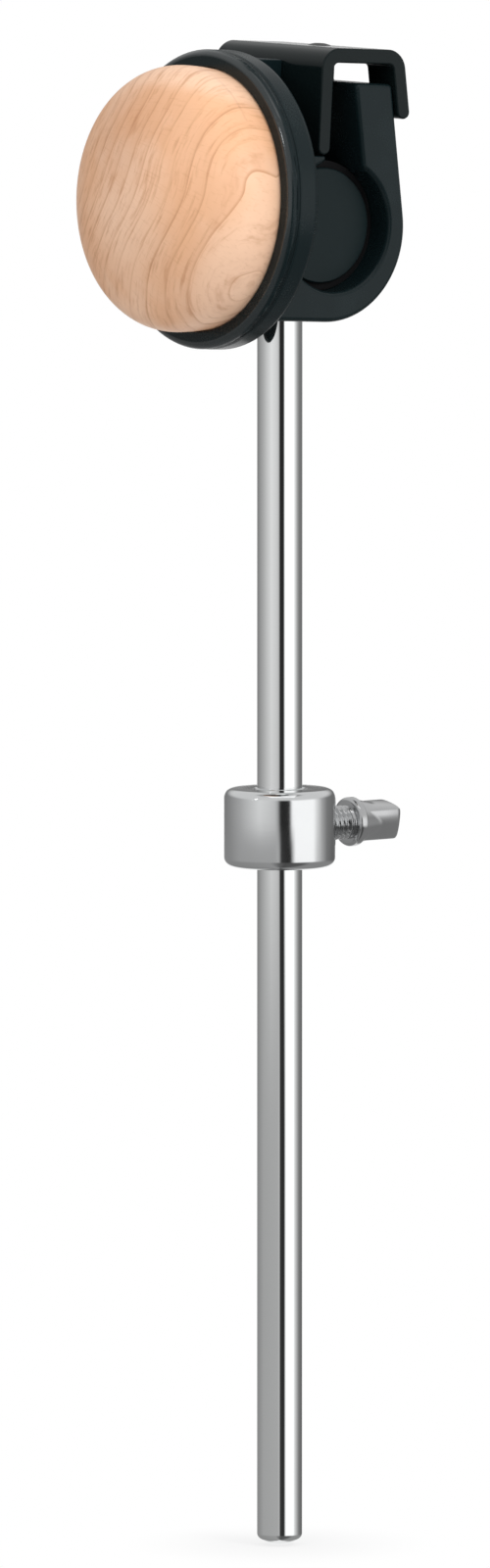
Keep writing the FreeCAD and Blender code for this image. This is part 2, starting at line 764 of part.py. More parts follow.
def cup_plane(body, name, reach):
    """A sketch square to the cup's axis, centred on it, at a distance in front of the pivot."""
    return new_sketch(body, name, "XZ_Plane", {"y": "dims.cup_rise", "z": reach})


def cut_screw_holes(body):
    """Holes for the striker's screws, and for the bracket's insert and screw."""
    insert = new_sketch(body, "insert_hole", "XY_Plane", {"z": BRACKET_UNDER})
    circle(insert, "0", BOSS_Y, "dims.insert_radius + dims.snug")
    pocket(body, insert, "dims.insert_length")
    tip = new_sketch(body, "bracket_screw_hole", "XY_Plane", {"z": BRACKET_UNDER})
    circle(tip, "0", BOSS_Y, "dims.bracket_screw_radius + dims.hole_clearance")
    pocket(body, tip, "dims.bracket_screw_length")
    holes = cup_plane(body, "striker_screw_holes", "dims.cup_back_reach")
    for x, z in SCREW_SPOTS:
        circle(holes, x, z, "dims.striker_screw_radius + dims.hole_clearance")
    pocket(body, holes, forwards=True)


def make_striker():
    """Turned maple dome on a short seat, with pilot holes in its back."""
    body = head_body("striker")
    sketch = new_sketch(body, "striker_profile", "YZ_Plane")
    belly_y = f"({CUP_LIP_Y} - dims.striker_belly)"
    apex_y = f"({belly_y} - dims.striker_crown)"
    # The belly runs from the lip to the widest ring as one arc, square to the axis there
    belly_radius = "(dims.striker_belly ^ 2 / dims.striker_swell + dims.striker_swell) / 2"
    crown_radius, crown_out, crown_along = crowned(
        STRIKER_RADIUS, "dims.striker_edge_radius", "dims.striker_crown"
    )
    seat = "dims.cup_rise + dims.seat_radius"
    outline(
        sketch,
        [
            (apex_y, "dims.cup_rise"),
            (CUP_FLOOR_Y, "dims.cup_rise"),
            (CUP_FLOOR_Y, seat),
            (CUP_LIP_Y, seat, belly_radius),
            (belly_y, f"dims.cup_rise + {STRIKER_RADIUS}", "dims.striker_edge_radius"),
            (f"{belly_y} - {crown_along}", f"dims.cup_rise + {crown_out}", crown_radius),
        ],
    )
    turned(body, sketch, axis_line(sketch, "dims.cup_rise", vertical=False))
    pilots = cup_plane(body, "pilot_holes", "dims.cup_back_reach + dims.cup_floor")
    for x, z in SCREW_SPOTS:
        circle(pilots, x, z, "dims.striker_screw_radius + dims.snug")
    pocket(body, pilots, "dims.striker_screw_grip + dims.pilot_spare_depth", forwards=True)
    return body


def make_striker_screws():
    """Pan-head wood screws from the cup's back into the striker."""
    body = head_body("striker_screws")
    body.AllowCompound = True
    back = "dims.cup_back_reach"
    shanks = cup_plane(body, "striker_screw_shanks", back)
    heads = cup_plane(body, "striker_screw_heads", back)
    recesses = cup_plane(body, "striker_screw_recesses", f"{back} - dims.striker_screw_head_height")
    for x, z in SCREW_SPOTS:
        circle(shanks, x, z, "dims.striker_screw_radius")
        circle(heads, x, z, "dims.striker_screw_head_radius")
        cross_outline(recesses, x, z)
    pad(body, shanks, "dims.cup_floor + dims.striker_screw_grip")
    pad(body, heads, "dims.striker_screw_head_height", backwards=True)
    pocket(body, recesses, "dims.recess_depth", forwards=True)
    return body


def make_keeper_bracket():
    """Bent steel bracket: a full-width leg in front, a top plate, and two rear tabs hooked over the arm."""
    body = head_body("keeper_bracket")
    sketch = new_sketch(body, "bracket_outline", "YZ_Plane")
    leg_front = "-dims.bracket_leg_reach"
    leg_back = f"{leg_front} + dims.bracket_thickness"
    leg_end = f"{BRACKET_TOP} - dims.bracket_leg_drop"
    tab_end = f"{BRACKET_TOP} - dims.bracket_tab_drop"
    outward = "dims.bracket_tab_gap + dims.bracket_thickness"
    corners = {
        "leg_front_end": (leg_front, leg_end),
        "leg_back_end": (leg_back, leg_end),
        "front_inner_bend": (leg_back, BRACKET_UNDER),
        "rear_inner_bend": (arm_back(BRACKET_UNDER, "dims.bracket_tab_gap"), BRACKET_UNDER),
        "tab_inner_end": (arm_back(tab_end, "dims.bracket_tab_gap"), tab_end),
        "tab_outer_end": (arm_back(tab_end, outward), tab_end),
        "rear_outer_bend": (arm_back(BRACKET_TOP, outward), BRACKET_TOP),
        "front_outer_bend": (leg_front, BRACKET_TOP),
    }
    outline(sketch, list(corners.values()))
    feature = pad(body, sketch, "dims.bracket_width", symmetric=True)
    inner_bend = "dims.bracket_bend"
    outer_bend = "dims.bracket_bend + dims.bracket_thickness"
    end_round = "dims.bracket_end_round"
    rounds = {
        "front_inner_bend": inner_bend,
        "rear_inner_bend": inner_bend,
        "front_outer_bend": outer_bend,
        "rear_outer_bend": outer_bend,
        "tab_outer_end": end_round,
        "tab_inner_end": end_round,
        "leg_front_end": end_round,
        "leg_back_end": end_round,
    }
    for corner, radius in rounds.items():
        feature = dressed(body, "Fillet", feature, along_x_at(*corners[corner]), radius)
    notch_depth = arm_back(BRACKET_UNDER, "dims.bracket_tab_gap - dims.bracket_bend")
    notch = new_sketch(body, "bracket_notch", "XZ_Plane", {"z": f"-{notch_depth}"})
    notch_half = "(dims.bracket_width / 2 - dims.bracket_tab_width)"
    rectangle(notch, f"-{notch_half}", f"{tab_end} - dims.overcut", notch_half, BRACKET_UNDER)
    pocket(body, notch)
    hole = new_sketch(body, "bracket_hole", "XY_Plane", {"z": BRACKET_TOP})
    circle(hole, "0", BOSS_Y, "dims.bracket_screw_radius + dims.hole_clearance")
    pocket(body, hole)
    return body


def make_bracket_screw():
    """Low-headed socket screw down through the bracket into the arm."""
    body = head_body("bracket_screw")
    sketch = new_sketch(body, "bracket_screw_profile", "YZ_Plane")
    dome = "dims.bracket_screw_head_height"
    dome_radius = f"(dims.bracket_screw_head_radius ^ 2 / {dome} + {dome}) / 2"
    tip = f"{BRACKET_TOP} - dims.bracket_screw_length"
    shank = f"{BOSS_Y} + dims.bracket_screw_radius"
    outline(
        sketch,
        [
            (BOSS_Y, tip),
            (shank, tip),
            (shank, BRACKET_TOP),
            (f"{BOSS_Y} + dims.bracket_screw_head_radius", BRACKET_TOP, dome_radius),
            (BOSS_Y, f"{BRACKET_TOP} + {dome}"),
        ],
    )
    turned(body, sketch, axis_line(sketch, BOSS_Y, vertical=True))
    head_top = {"y": BOSS_Y, "z": f"{BRACKET_TOP} + {dome}"}
    socket = new_sketch(body, "bracket_screw_socket", "XY_Plane", head_top)
    regular_outline(socket, 6, "dims.bracket_screw_hex_key")
    pocket(body, socket, "dims.bracket_screw_hex_depth")
    return body


def make_bracket_insert():
    """Brass insert in the arm's boss that the bracket's screw bites into."""
    body = head_body("bracket_insert")
    ring = new_sketch(body, "insert_ring", "XY_Plane", {"z": BRACKET_UNDER})
    circle(ring, "0", BOSS_Y, "dims.insert_radius")
    circle(ring, "0", BOSS_Y, "dims.bracket_screw_radius + dims.snug")
    pad(body, ring, "dims.insert_length", backwards=True)
    return body


def check_and_write(bodies):
    """Stop on any failed object or bad shape, then write one file for each sub-part."""
    doc.recompute()
    failed = [o.Label for o in doc.Objects if {"Invalid", "Error"} & set(o.State)]
    if failed:
        raise RuntimeError(f"failed objects: {failed}")
    for body in bodies:
        if body.Shape.isNull() or not body.Shape.isValid():
            raise RuntimeError(f"bad shape: {body.Label}")
    os.makedirs("parts", exist_ok=True)
    for body in bodies:
        body.Shape.exportStep(os.path.join("parts", f"{body.Label}.step"))
        box = body.Shape.BoundBox
        print(f"{body.Label}: {len(body.Shape.Solids)} solids, {body.Shape.Volume:.1f} mm3, {box}")


check_and_write(
    [
        make_rod(),
        make_memory_collar(),
        make_key_screw(),
        make_pivot_barrel(),
        make_pivot_bush(),
        make_lock_washer(),
        make_rod_screw(),
        make_head_shell(),
        make_striker(),
        make_striker_screws(),
        make_keeper_bracket(),
        make_bracket_screw(),
        make_bracket_insert(),
    ]
)
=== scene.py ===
"""Bass drum beater in a plain white studio.

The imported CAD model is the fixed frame. The turned pieces (rod, collar, key screw, striker) are
rebuilt here as clean lathe forms, the moulded head and the bent bracket get eased edges, and
every piece gets a procedural finish. The classes of pieces give sizes in millimetres; finishes,
studio and Blender use metres.
"""

from __future__ import annotations

import logging
import math
from dataclasses import dataclass, field
from enum import Enum
from typing import Any, Callable, Sequence, Union

import bmesh
import bpy
from mathutils import Matrix, Vector
from mathutils.bvhtree import BVHTree

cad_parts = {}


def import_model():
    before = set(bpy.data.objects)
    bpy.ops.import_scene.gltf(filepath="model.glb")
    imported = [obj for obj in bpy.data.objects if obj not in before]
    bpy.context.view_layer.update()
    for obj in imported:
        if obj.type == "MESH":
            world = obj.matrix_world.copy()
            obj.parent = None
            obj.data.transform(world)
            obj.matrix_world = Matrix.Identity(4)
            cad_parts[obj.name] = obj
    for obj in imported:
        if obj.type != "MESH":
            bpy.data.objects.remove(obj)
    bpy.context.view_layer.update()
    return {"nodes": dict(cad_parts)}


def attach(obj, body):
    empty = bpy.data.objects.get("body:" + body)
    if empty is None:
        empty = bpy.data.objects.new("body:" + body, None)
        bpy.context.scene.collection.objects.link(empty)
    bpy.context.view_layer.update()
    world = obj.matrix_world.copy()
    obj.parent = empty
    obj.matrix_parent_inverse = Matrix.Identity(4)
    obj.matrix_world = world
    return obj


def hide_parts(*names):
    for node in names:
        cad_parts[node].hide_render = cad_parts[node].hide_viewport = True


LOG = logging.getLogger("beater")
MM = 0.001
WHITE = (1.0, 1.0, 1.0)

Colour = tuple[float, float, float]
Stretch = tuple[float, float, float]
Span = tuple[float, float]
Radius = Callable[[float], float]
Levels = tuple[tuple[float, float], ...]
Term = Union["Value", float]

# The head's place on the rod, and the directions that turned pieces point in
PIVOT_BACK = 1.2 * MM
PIVOT_HEIGHT = 231.8 * MM
HEAD_LEAN = math.radians(-3.5)
CUP_RISE = 3.65 * MM
TOWARDS_DRUM = Matrix.Rotation(math.radians(90), 4, "X")
TOWARDS_REAR = Matrix.Rotation(math.radians(-90), 4, "X")
HEAD_FRAME = Matrix.Translation((0, PIVOT_BACK, PIVOT_HEIGHT)) @ Matrix.Rotation(HEAD_LEAN, 4, "X")
CUP_FRAME = HEAD_FRAME @ Matrix.Translation((0, 0, CUP_RISE)) @ TOWARDS_DRUM

# How near its axis a turned form ends: a flat end in millimetres, a crown in degrees
CORE_RADIUS = 0.02
CROWN_END_DEGREES = 0.1

# How CAD meshes are cleaned and their edges eased
SAME_POINT = 1e-7
FLAT_DEGREES = 0.2
EASED_DEGREES = 35.0
EASE_STEPS = 2
EVEN_WEIGHT = 90


class Slot(Enum):
    """The record's material slots."""

    CHROMED_ROD = "chromed_rod"
    SATIN_CHROME = "satin_chrome"
    BLACK_MOULDING = "black_moulding"
    PIVOT_BLACK = "pivot_black"
    BUSH_RUBBER = "bush_rubber"
    MAPLE = "maple"
    BLACK_STEEL = "black_steel"
    BLACK_SCREW = "black_screw"
    ZINC_SCREW = "zinc_screw"
    INSERT_BRASS = "insert_brass"


class Body(Enum):
    """The moving bodies that pieces ride on."""

    ROD = "rod_group"
    HEAD = "head"
    COLLAR = "collar"
    KEY = "key"


# Shader maths


class Value:
    """A number or colour that varies over a surface: one output socket, with arithmetic."""

    def __init__(self, nodes: Nodes, socket: bpy.types.NodeSocket) -> None:
        """Wrap an output socket of a node tree."""
        self.nodes = nodes
        self.socket = socket

    def _math(self, operation: str, *terms: Term) -> Value:
        """Add a Math node."""
        return self.nodes.add("ShaderNodeMath", {"operation": operation}, dict(enumerate(terms)))

    def __add__(self, other: Term) -> Value:
        """self + other."""
        return self._math("ADD", self, other)

    def __radd__(self, other: Term) -> Value:
        """other + self."""
        return self._math("ADD", other, self)

    def __sub__(self, other: Term) -> Value:
        """self - other."""
        return self._math("SUBTRACT", self, other)

    def __rsub__(self, other: Term) -> Value:
        """other - self."""
        return self._math("SUBTRACT", other, self)

    def __mul__(self, other: Term) -> Value:
        """self * other."""
        return self._math("MULTIPLY", self, other)

    def __rmul__(self, other: Term) -> Value:
        """other * self."""
        return self._math("MULTIPLY", other, self)

    def __truediv__(self, other: Term) -> Value:
        """self / other."""
        return self._math("DIVIDE", self, other)

    def __rtruediv__(self, other: Term) -> Value:
        """other / self."""
        return self._math("DIVIDE", other, self)

    def __pow__(self, other: Term) -> Value:
        """self to a power."""
        return self._math("POWER", self, other)

    def __rpow__(self, other: Term) -> Value:
        """other ** self."""
        return self._math("POWER", other, self)

    def __mod__(self, other: Term) -> Value:
        """The remainder after division, never negative."""
        return self._math("FLOORED_MODULO", self, other)

    def __rmod__(self, other: Term) -> Value:
        """other % self."""
        return self._math("FLOORED_MODULO", other, self)

    def sine(self) -> Value:
        """The sine of an angle in radians."""
        return self._math("SINE", self)

    def absolute(self) -> Value:
        """The size of the value, without its sign."""
        return self._math("ABSOLUTE", self)

    def arctangent(self, other: Term) -> Value:
        """The angle of self over other, in radians."""
        return self._math("ARCTAN2", self, other)

    def limited(self) -> Value:
        """The value held between 0 and 1."""
        return self.nodes.add("ShaderNodeClamp", {}, {"Value": self})

    def eased(self, start: float, end: float) -> Value:
        """A smooth rise from 0 at start to 1 at end."""
        sockets = {"Value": self, "From Min": start, "From Max": end}
        return self.nodes.add("ShaderNodeMapRange", {"interpolation_type": "SMOOTHSTEP"}, sockets)


@dataclass(frozen=True)
class Noise:
    """A soft noise: features to the metre, layers of finer detail, and how much each of them adds.

    The stretch is what a point's three numbers are multiplied by first.
    """

    scale: float
    detail: float = 2.0
    rough: float = 0.5
    stretch: Stretch | None = None


@dataclass(frozen=True)
class Relief:
    """A fine relief: the depth of its full height, in metres, and how strongly it shows."""

    depth: float
    strength: float


class Nodes:
    """The node tree of one finish, or of the world."""

    def __init__(self, tree: bpy.types.ShaderNodeTree, output: str = "ShaderNodeOutputMaterial") -> None:
        """Empty a node tree to build it anew.

        Args:
            tree: The node tree.
            output: Blender's name for the tree's output node.
        """
        self.tree = tree
        self.output = output
        tree.nodes.clear()

    def add(
        self,
        kind: str,
        settings: dict[str, Any],
        sockets: dict[Any, Any],
        output: Any = None,
    ) -> Value:
        """Add one node.

        Args:
            kind: Blender's name for the node.
            settings: Properties of the node, set first; "stops" fills a colour ramp.
            sockets: Values or links for its inputs, by name or number.
            output: The output that the result stands for, by name or number, or None for the first
                one that is shown.

        Returns:
            The chosen output.
        """
        node = self.tree.nodes.new(kind)
        for name, setting in settings.items():
            if name == "stops":
                self._fill_ramp(node.color_ramp, setting)
            else:
                setattr(node, name, setting)
        for key, value in sockets.items():
            self._feed(node, key, value)
        if output is None:
            shown = next((s for s in node.outputs if s.enabled), None)
        else:
            shown = node.outputs[output]
        return Value(self, shown)

    def _feed(self, node: bpy.types.Node, key: Any, value: Any) -> None:
        """Link a Value to an input, or set the input's own value.

        Args:
            node: The node.
            key: The input's name, or its number among those shown.
            value: A Value, a number, a colour or a vector.
        """
        live = [s for s in node.inputs if s.enabled]
        socket = live[key] if isinstance(key, int) else next(s for s in live if s.name == key)
        if isinstance(value, Value):
            self.tree.links.new(value.socket, socket)
        elif isinstance(value, tuple) and len(value) == 3 and socket.type == "RGBA":
            socket.default_value = (*value, 1.0)
        else:
            socket.default_value = value

    @staticmethod
    def _fill_ramp(ramp: bpy.types.ColorRamp, stops: Sequence[tuple[float, Colour]]) -> None:
        """Give a colour ramp its stops.

        Args:
            ramp: The ramp.
            stops: Places from 0 to 1, and the colour at each.
        """
        while len(ramp.elements) > 1:
            ramp.elements.remove(ramp.elements[0])
        ramp.elements[0].position = stops[0][0]
        ramp.elements[0].color = (*stops[0][1], 1.0)
        for place, colour in stops[1:]:
            ramp.elements.new(place).color = (*colour, 1.0)

    def mix(self, factor: Value, first: Colour | Value, second: Colour | Value) -> Value:
        """Blend two colours by a factor."""
        sockets = {"Factor": factor, "A": first, "B": second}
        return self.add("ShaderNodeMix", {"data_type": "RGBA"}, sockets)

    def ramp(self, value: Value, stops: Sequence[tuple[float, Colour]]) -> Value:
        """Colours along a value from 0 to 1."""
        return self.add("ShaderNodeValToRGB", {"stops": stops}, {"Fac": value})

    def vector(self, operation: str, *terms: Any) -> Value:
        """Add a Vector Math node."""
        return self.add("ShaderNodeVectorMath", {"operation": operation}, dict(enumerate(terms)))

    def place(self) -> Value:
        """The point on the piece, in its own metres."""
        return self.add("ShaderNodeTexCoord", {}, {}, "Object")

    def turned_place(self, matrix: Matrix) -> Value:
        """The point on the piece, in another frame.

        Args:
            matrix: The other frame, in metres.

        Returns:
            The point as a vector.
        """
        inverse = matrix.inverted()
        sockets = {
            "Vector": self.place(),
            "Location": inverse.to_translation(),
            "Rotation": inverse.to_euler(),
        }
        return self.add("ShaderNodeMapping", {"vector_type": "POINT"}, sockets)

    def turned_normal(self, matrix: Matrix) -> Value:
        """The direction that the surface faces, in another frame.

        Args:
            matrix: The other frame.

        Returns:
            The direction as a vector.
        """
        facing = self.add("ShaderNodeTexCoord", {}, {}, "Normal")
        sockets = {"Vector": facing, "Rotation": matrix.inverted().to_euler()}
        return self.add("ShaderNodeMapping", {"vector_type": "VECTOR"}, sockets)

    def parts(self, vector: Value) -> tuple[Value, Value, Value]:
        """The three numbers of a vector."""
        node = self.add("ShaderNodeSeparateXYZ", {}, {"Vector": vector}).socket.node
        return tuple(Value(self, s) for s in node.outputs)

    def joined(self, x: Value, y: Value, z: Value) -> Value:
        """A vector of three numbers."""
        return self.add("ShaderNodeCombineXYZ", {}, {"X": x, "Y": y, "Z": z})

    def noise(self, point: Value, kind: Noise) -> Value:
        """Add a noise.

        Args:
            point: The point that it is read at.
            kind: Its settings.

        Returns:
            Numbers around 0.5.
        """
        if kind.stretch:
            point = self.vector("MULTIPLY", point, kind.stretch)
        sockets = {"Vector": point, "Scale": kind.scale, "Detail": kind.detail, "Roughness": kind.rough}
        return self.add("ShaderNodeTexNoise", {}, sockets, 0)

    def bump(self, height: Value, relief: Relief) -> Value:
        """A normal from a height between 0 and 1."""
        sockets = {"Height": height, "Distance": relief.depth, "Strength": relief.strength}
        return self.add("ShaderNodeBump", {}, sockets)

    def surface(self, shader: Value) -> None:
        """Send a shader to the output."""
        self.add(self.output, {}, {"Surface": shader})

    def principled(self, **sockets: Any) -> None:
        """The usual surface shader, with underscores for spaces in its sockets' names."""
        named = {name.replace("_", " "): value for name, value in sockets.items()}
        self.surface(self.add("ShaderNodeBsdfPrincipled", {}, named))


class Finish:
    """A finish that can be put on pieces."""

    slot: Slot

    def paint(self, nodes: Nodes) -> None:
        """Build the finish's nodes."""
        raise NotImplementedError

    def material(self) -> bpy.types.Material:
        """Make the finish's material.

        Returns:
            A new material, named for its slot.
        """
        made = bpy.data.materials.new(self.slot.value)
        made.use_nodes = True
        self.paint(Nodes(made.node_tree))
        return made


# Finishes


@dataclass(frozen=True)
class Maple(Finish):
    """Sanded maple under a thin lacquer: growth rings about a pith that lies outside the striker."""

    grain: Matrix
    slot: Slot = Slot.MAPLE
    pale: Colour = (0.86, 0.57, 0.395)
    warm: Colour = (0.77, 0.432, 0.247)
    line: Colour = (0.44, 0.172, 0.06)
    ring_width: float = 3.07 * MM
    first_ring: float = 0.5 * MM
    sway: Noise = Noise(90.0, 2.0, 0.4, (1, 1, 0.4))
    sway_height: float = 0.7 * MM
    wave_height: float = 0.58 * MM
    wave_length: float = 21.3 * MM
    wave_start: float = 20.8 * MM
    outer_rings: Span = (47.75 * MM, 56.9 * MM)
    outer_lean: float = 0.3
    outer_level: float = 25.6 * MM
    flare: float = 1.1 * MM
    flare_from: Span = (3.9 * MM, 10.8 * MM)
    step: float = 0.2 * MM
    least_slope: float = 0.02
    line_front: float = 0.12 * MM
    line_fade: Span = (0.08 * MM, 0.6 * MM)
    line_patches: Noise = Noise(130.0)
    line_patch_range: Span = (0.25, 0.65)
    line_floor: float = 0.3
    line_strength: float = 0.62
    late_range: Span = (0.35, 1.0)
    late_strength: float = 0.16
    fibres: Noise = Noise(1500.0, 3.0, 0.6, (1, 0.004, 0.1))
    fibre_range: Span = (0.48, 0.74)
    fibre_strength: float = 0.44
    rays: Noise = Noise(2600.0, 2.0, 0.6, (0.12, 0.04, 0.3))
    ray_range: Span = (0.52, 0.78)
    ray_strength: float = 0.18
    clouds: Noise = Noise(75.0, 3.0, 0.55)
    cloud_range: Span = (0.2, 0.6)
    cloud_shift: float = 31.0 * MM
    patch_fade: Span = (3.0 * MM, 14.0 * MM)
    # Painted sheen: the middle of a paler patch where the lacquer's highlight falls
    sheen_patch: Span = (28.3 * MM, 19.1 * MM)
    # Painted shade: the middle of a darker patch towards the dome's left edge
    shade_patch: Span = (25.8 * MM, 4.0 * MM)
    shade_strength: float = 0.24
    # Painted sheen: paler outer rings on the lit side, and paler wood along the lit top
    sheen_outer: Span = (47.0 * MM, 53.0 * MM)
    sheen_top: Span = (3.6 * MM, 7.2 * MM)
    sheen_strength: float = 0.8
    rough: float = 0.4
    fibre_rough: float = 0.16
    lacquer: float = 0.15
    lacquer_rough: float = 0.32
    relief: Relief = Relief(0.03 * MM, 0.35)
    fibre_relief: float = 0.6
    ray_relief: float = 0.4

    def reach(self, nodes: Nodes, point: Value) -> Value:
        """How far out in the tree a point lies.

        Args:
            nodes: The finish's nodes.
            point: The point in the wood's own frame.

        Returns:
            Its distance from the pith, bent as real rings are.
        """
        x, y, z = nodes.parts(point)
        sway = nodes.noise(point, self.sway)
        wave = ((self.wave_start - y) * (2 * math.pi / self.wave_length)).sine()
        radius = (x * x + y * y) ** 0.5
        outer = radius.eased(*self.outer_rings)
        lean = (y - self.outer_level) * outer * self.outer_lean + z.eased(*self.flare_from) * self.flare
        bend = (sway - 0.5) * self.sway_height - wave * self.wave_height
        return radius + lean + bend * (1 - outer)

    def steepness(self, nodes: Nodes, point: Value, reach: Value) -> Value:
        """How fast the reach changes along the surface, so that lines can keep an even width.

        Args:
            nodes: The finish's nodes.
            point: The point in the wood's own frame.
            reach: The reach there.

        Returns:
            The change of reach over a small step, divided by the step.
        """
        facing = nodes.turned_normal(self.grain)
        aside = nodes.vector("NORMALIZE", nodes.vector("CROSS_PRODUCT", facing, (0, 0, 1)))
        change = 0.0
        for way in (aside, nodes.vector("CROSS_PRODUCT", facing, aside)):
            near = nodes.vector("ADD", point, nodes.vector("MULTIPLY", way, (self.step,) * 3))
            rise = (self.reach(nodes, near) - reach) / self.step
            change = rise * rise + change
        return change**0.5

    def patch(self, x: Value, y: Value, middle: Span) -> Value:
        """A soft round patch that runs along the pith.

        Args:
            x: Distance aside of the pith.
            y: Distance below the pith.
            middle: The patch's middle, as such distances.

        Returns:
            1 in the patch's middle, fading to 0.
        """
        aside = x - middle[0]
        below = y - middle[1]
        return 1 - ((aside * aside + below * below) ** 0.5).eased(*self.patch_fade)

    def lines(self, nodes: Nodes, point: Value, before: Value, chance: Value) -> Value:
        """The dark lines that end the rings.

        Args:
            nodes: The finish's nodes.
            point: The point in the wood's own frame.
            before: How far inside the ring's end the point lies, along the surface.
            chance: The ring's own strength.

        Returns:
            1 in the middle of a strong line, 0 off the lines.
        """
        mark = (1 - before.eased(*self.line_fade)) * before.eased(0.0, self.line_front)
        patchy = nodes.noise(point, self.line_patches).eased(*self.line_patch_range)
        uneven = 1 - self.line_floor
        return mark * (self.line_floor + uneven * chance) * (self.line_floor + uneven * patchy)

    def warmth(self, nodes: Nodes, point: Value, reach: Value) -> Value:
        """Slow changes of tone from clouds, and painted sheen: paler wood in a patch where the lacquer's
        highlight falls, in the outer rings on the lit side and along the lit top.

        Args:
            nodes: The finish's nodes.
            point: The point in the wood's own frame.
            reach: The reach there.

        Returns:
            0 for pale wood to 1 for warm wood.
        """
        x, y, _ = nodes.parts(point)
        cloud = nodes.noise(nodes.vector("ADD", point, (self.cloud_shift, 0, 0)), self.clouds)
        # painted sheen: a paler patch where the lacquer's highlight falls
        sheen_patch = self.patch(x, y, self.sheen_patch) * self.sheen_strength
        # painted sheen: paler along the lit top
        top = (0 - y).eased(*self.sheen_top) * self.sheen_strength
        # painted sheen: paler outer rings on the lit side
        outer = reach.eased(*self.sheen_outer)
        return cloud.eased(*self.cloud_range) * (1 - sheen_patch) * (1 - outer) * (1 - top)

    def paint(self, nodes: Nodes) -> None:
        """Rings of uneven strength, streaks along them, short rays across them, slow changes of tone
        with painted sheen, and a darker patch of painted shade.

        Args:
            nodes: The finish's nodes.
        """
        point = nodes.turned_place(self.grain)
        x, y, z = nodes.parts(point)
        reach = self.reach(nodes, point)
        rings = (reach - self.first_ring) / self.ring_width
        phase = rings % 1.0
        settings = {"noise_dimensions": "1D"}
        chance = nodes.add("ShaderNodeTexWhiteNoise", settings, {"W": rings - phase}, "Value")
        before = (1 - phase) * self.ring_width / (self.steepness(nodes, point, reach) + self.least_slope)
        line = self.lines(nodes, point, before, chance)
        round_pith = nodes.joined(reach, y.arctangent(x), z)
        fibre = nodes.noise(round_pith, self.fibres)
        ray = nodes.noise(round_pith, self.rays)
        late = phase.eased(*self.late_range) * chance * self.late_strength
        # painted shade: a darker patch towards the dome's left edge
        painted_shade = self.patch(x, y, self.shade_patch) * self.shade_strength
        tone = nodes.mix(self.warmth(nodes, point, reach), self.pale, self.warm)
        for strength in (
            late + painted_shade,
            fibre.eased(*self.fibre_range) * self.fibre_strength,
            ray.eased(*self.ray_range) * self.ray_strength,
            line * self.line_strength,
        ):
            tone = nodes.mix(strength, tone, self.line)
        nodes.principled(
            Base_Color=tone,
            Roughness=self.rough + fibre * self.fibre_rough,
            Coat_Weight=self.lacquer,
            Coat_Roughness=self.lacquer_rough,
            Normal=nodes.bump(fibre * self.fibre_relief + ray * self.ray_relief, self.relief),
        )


@dataclass(frozen=True)
class Chrome(Finish):
    """Bright chrome plate with the faintest polishing haze, and fine rings about one axis."""

    slot: Slot = Slot.CHROMED_ROD
    colour: Colour = (0.79, 0.8, 0.8)
    dull: Colour = (0.67, 0.68, 0.68)
    rings: Noise = Noise(6000.0, stretch=(0.02, 0.02, 1))
    patches: Noise = Noise(90.0, 3.0)
    patch_strength: float = 0.1
    rough: float = 0.02
    ring_rough: float = 0.02
    patch_rough: float = 0.03
    relief: Relief = Relief(0.001 * MM, 0.15)

    def paint(self, nodes: Nodes) -> None:
        """Fine rings left by polishing or turning, and patches of slightly duller plate.

        Args:
            nodes: The finish's nodes.
        """
        rings = nodes.noise(nodes.place(), self.rings)
        patch = nodes.noise(nodes.place(), self.patches)
        nodes.principled(
            Base_Color=nodes.mix(patch * self.patch_strength, self.colour, self.dull),
            Metallic=1.0,
            Roughness=self.rough + rings * self.ring_rough + patch * self.patch_rough,
            Normal=nodes.bump(rings, self.relief),
        )


@dataclass(frozen=True)
class SatinChrome(Chrome):
    """Satin plate over turned steel, with plainer tool rings."""

    slot: Slot = Slot.SATIN_CHROME
    colour: Colour = (0.69, 0.7, 0.705)
    dull: Colour = (0.59, 0.6, 0.605)
    rough: float = 0.06
    rings: Noise = Noise(7000.0, 3.0, 0.6, (0.03, 0.03, 1))
    patches: Noise = Noise(220.0, 3.0)
    patch_strength: float = 0.3
    ring_rough: float = 0.06
    patch_rough: float = 0.05
    relief: Relief = Relief(0.004 * MM, 0.3)


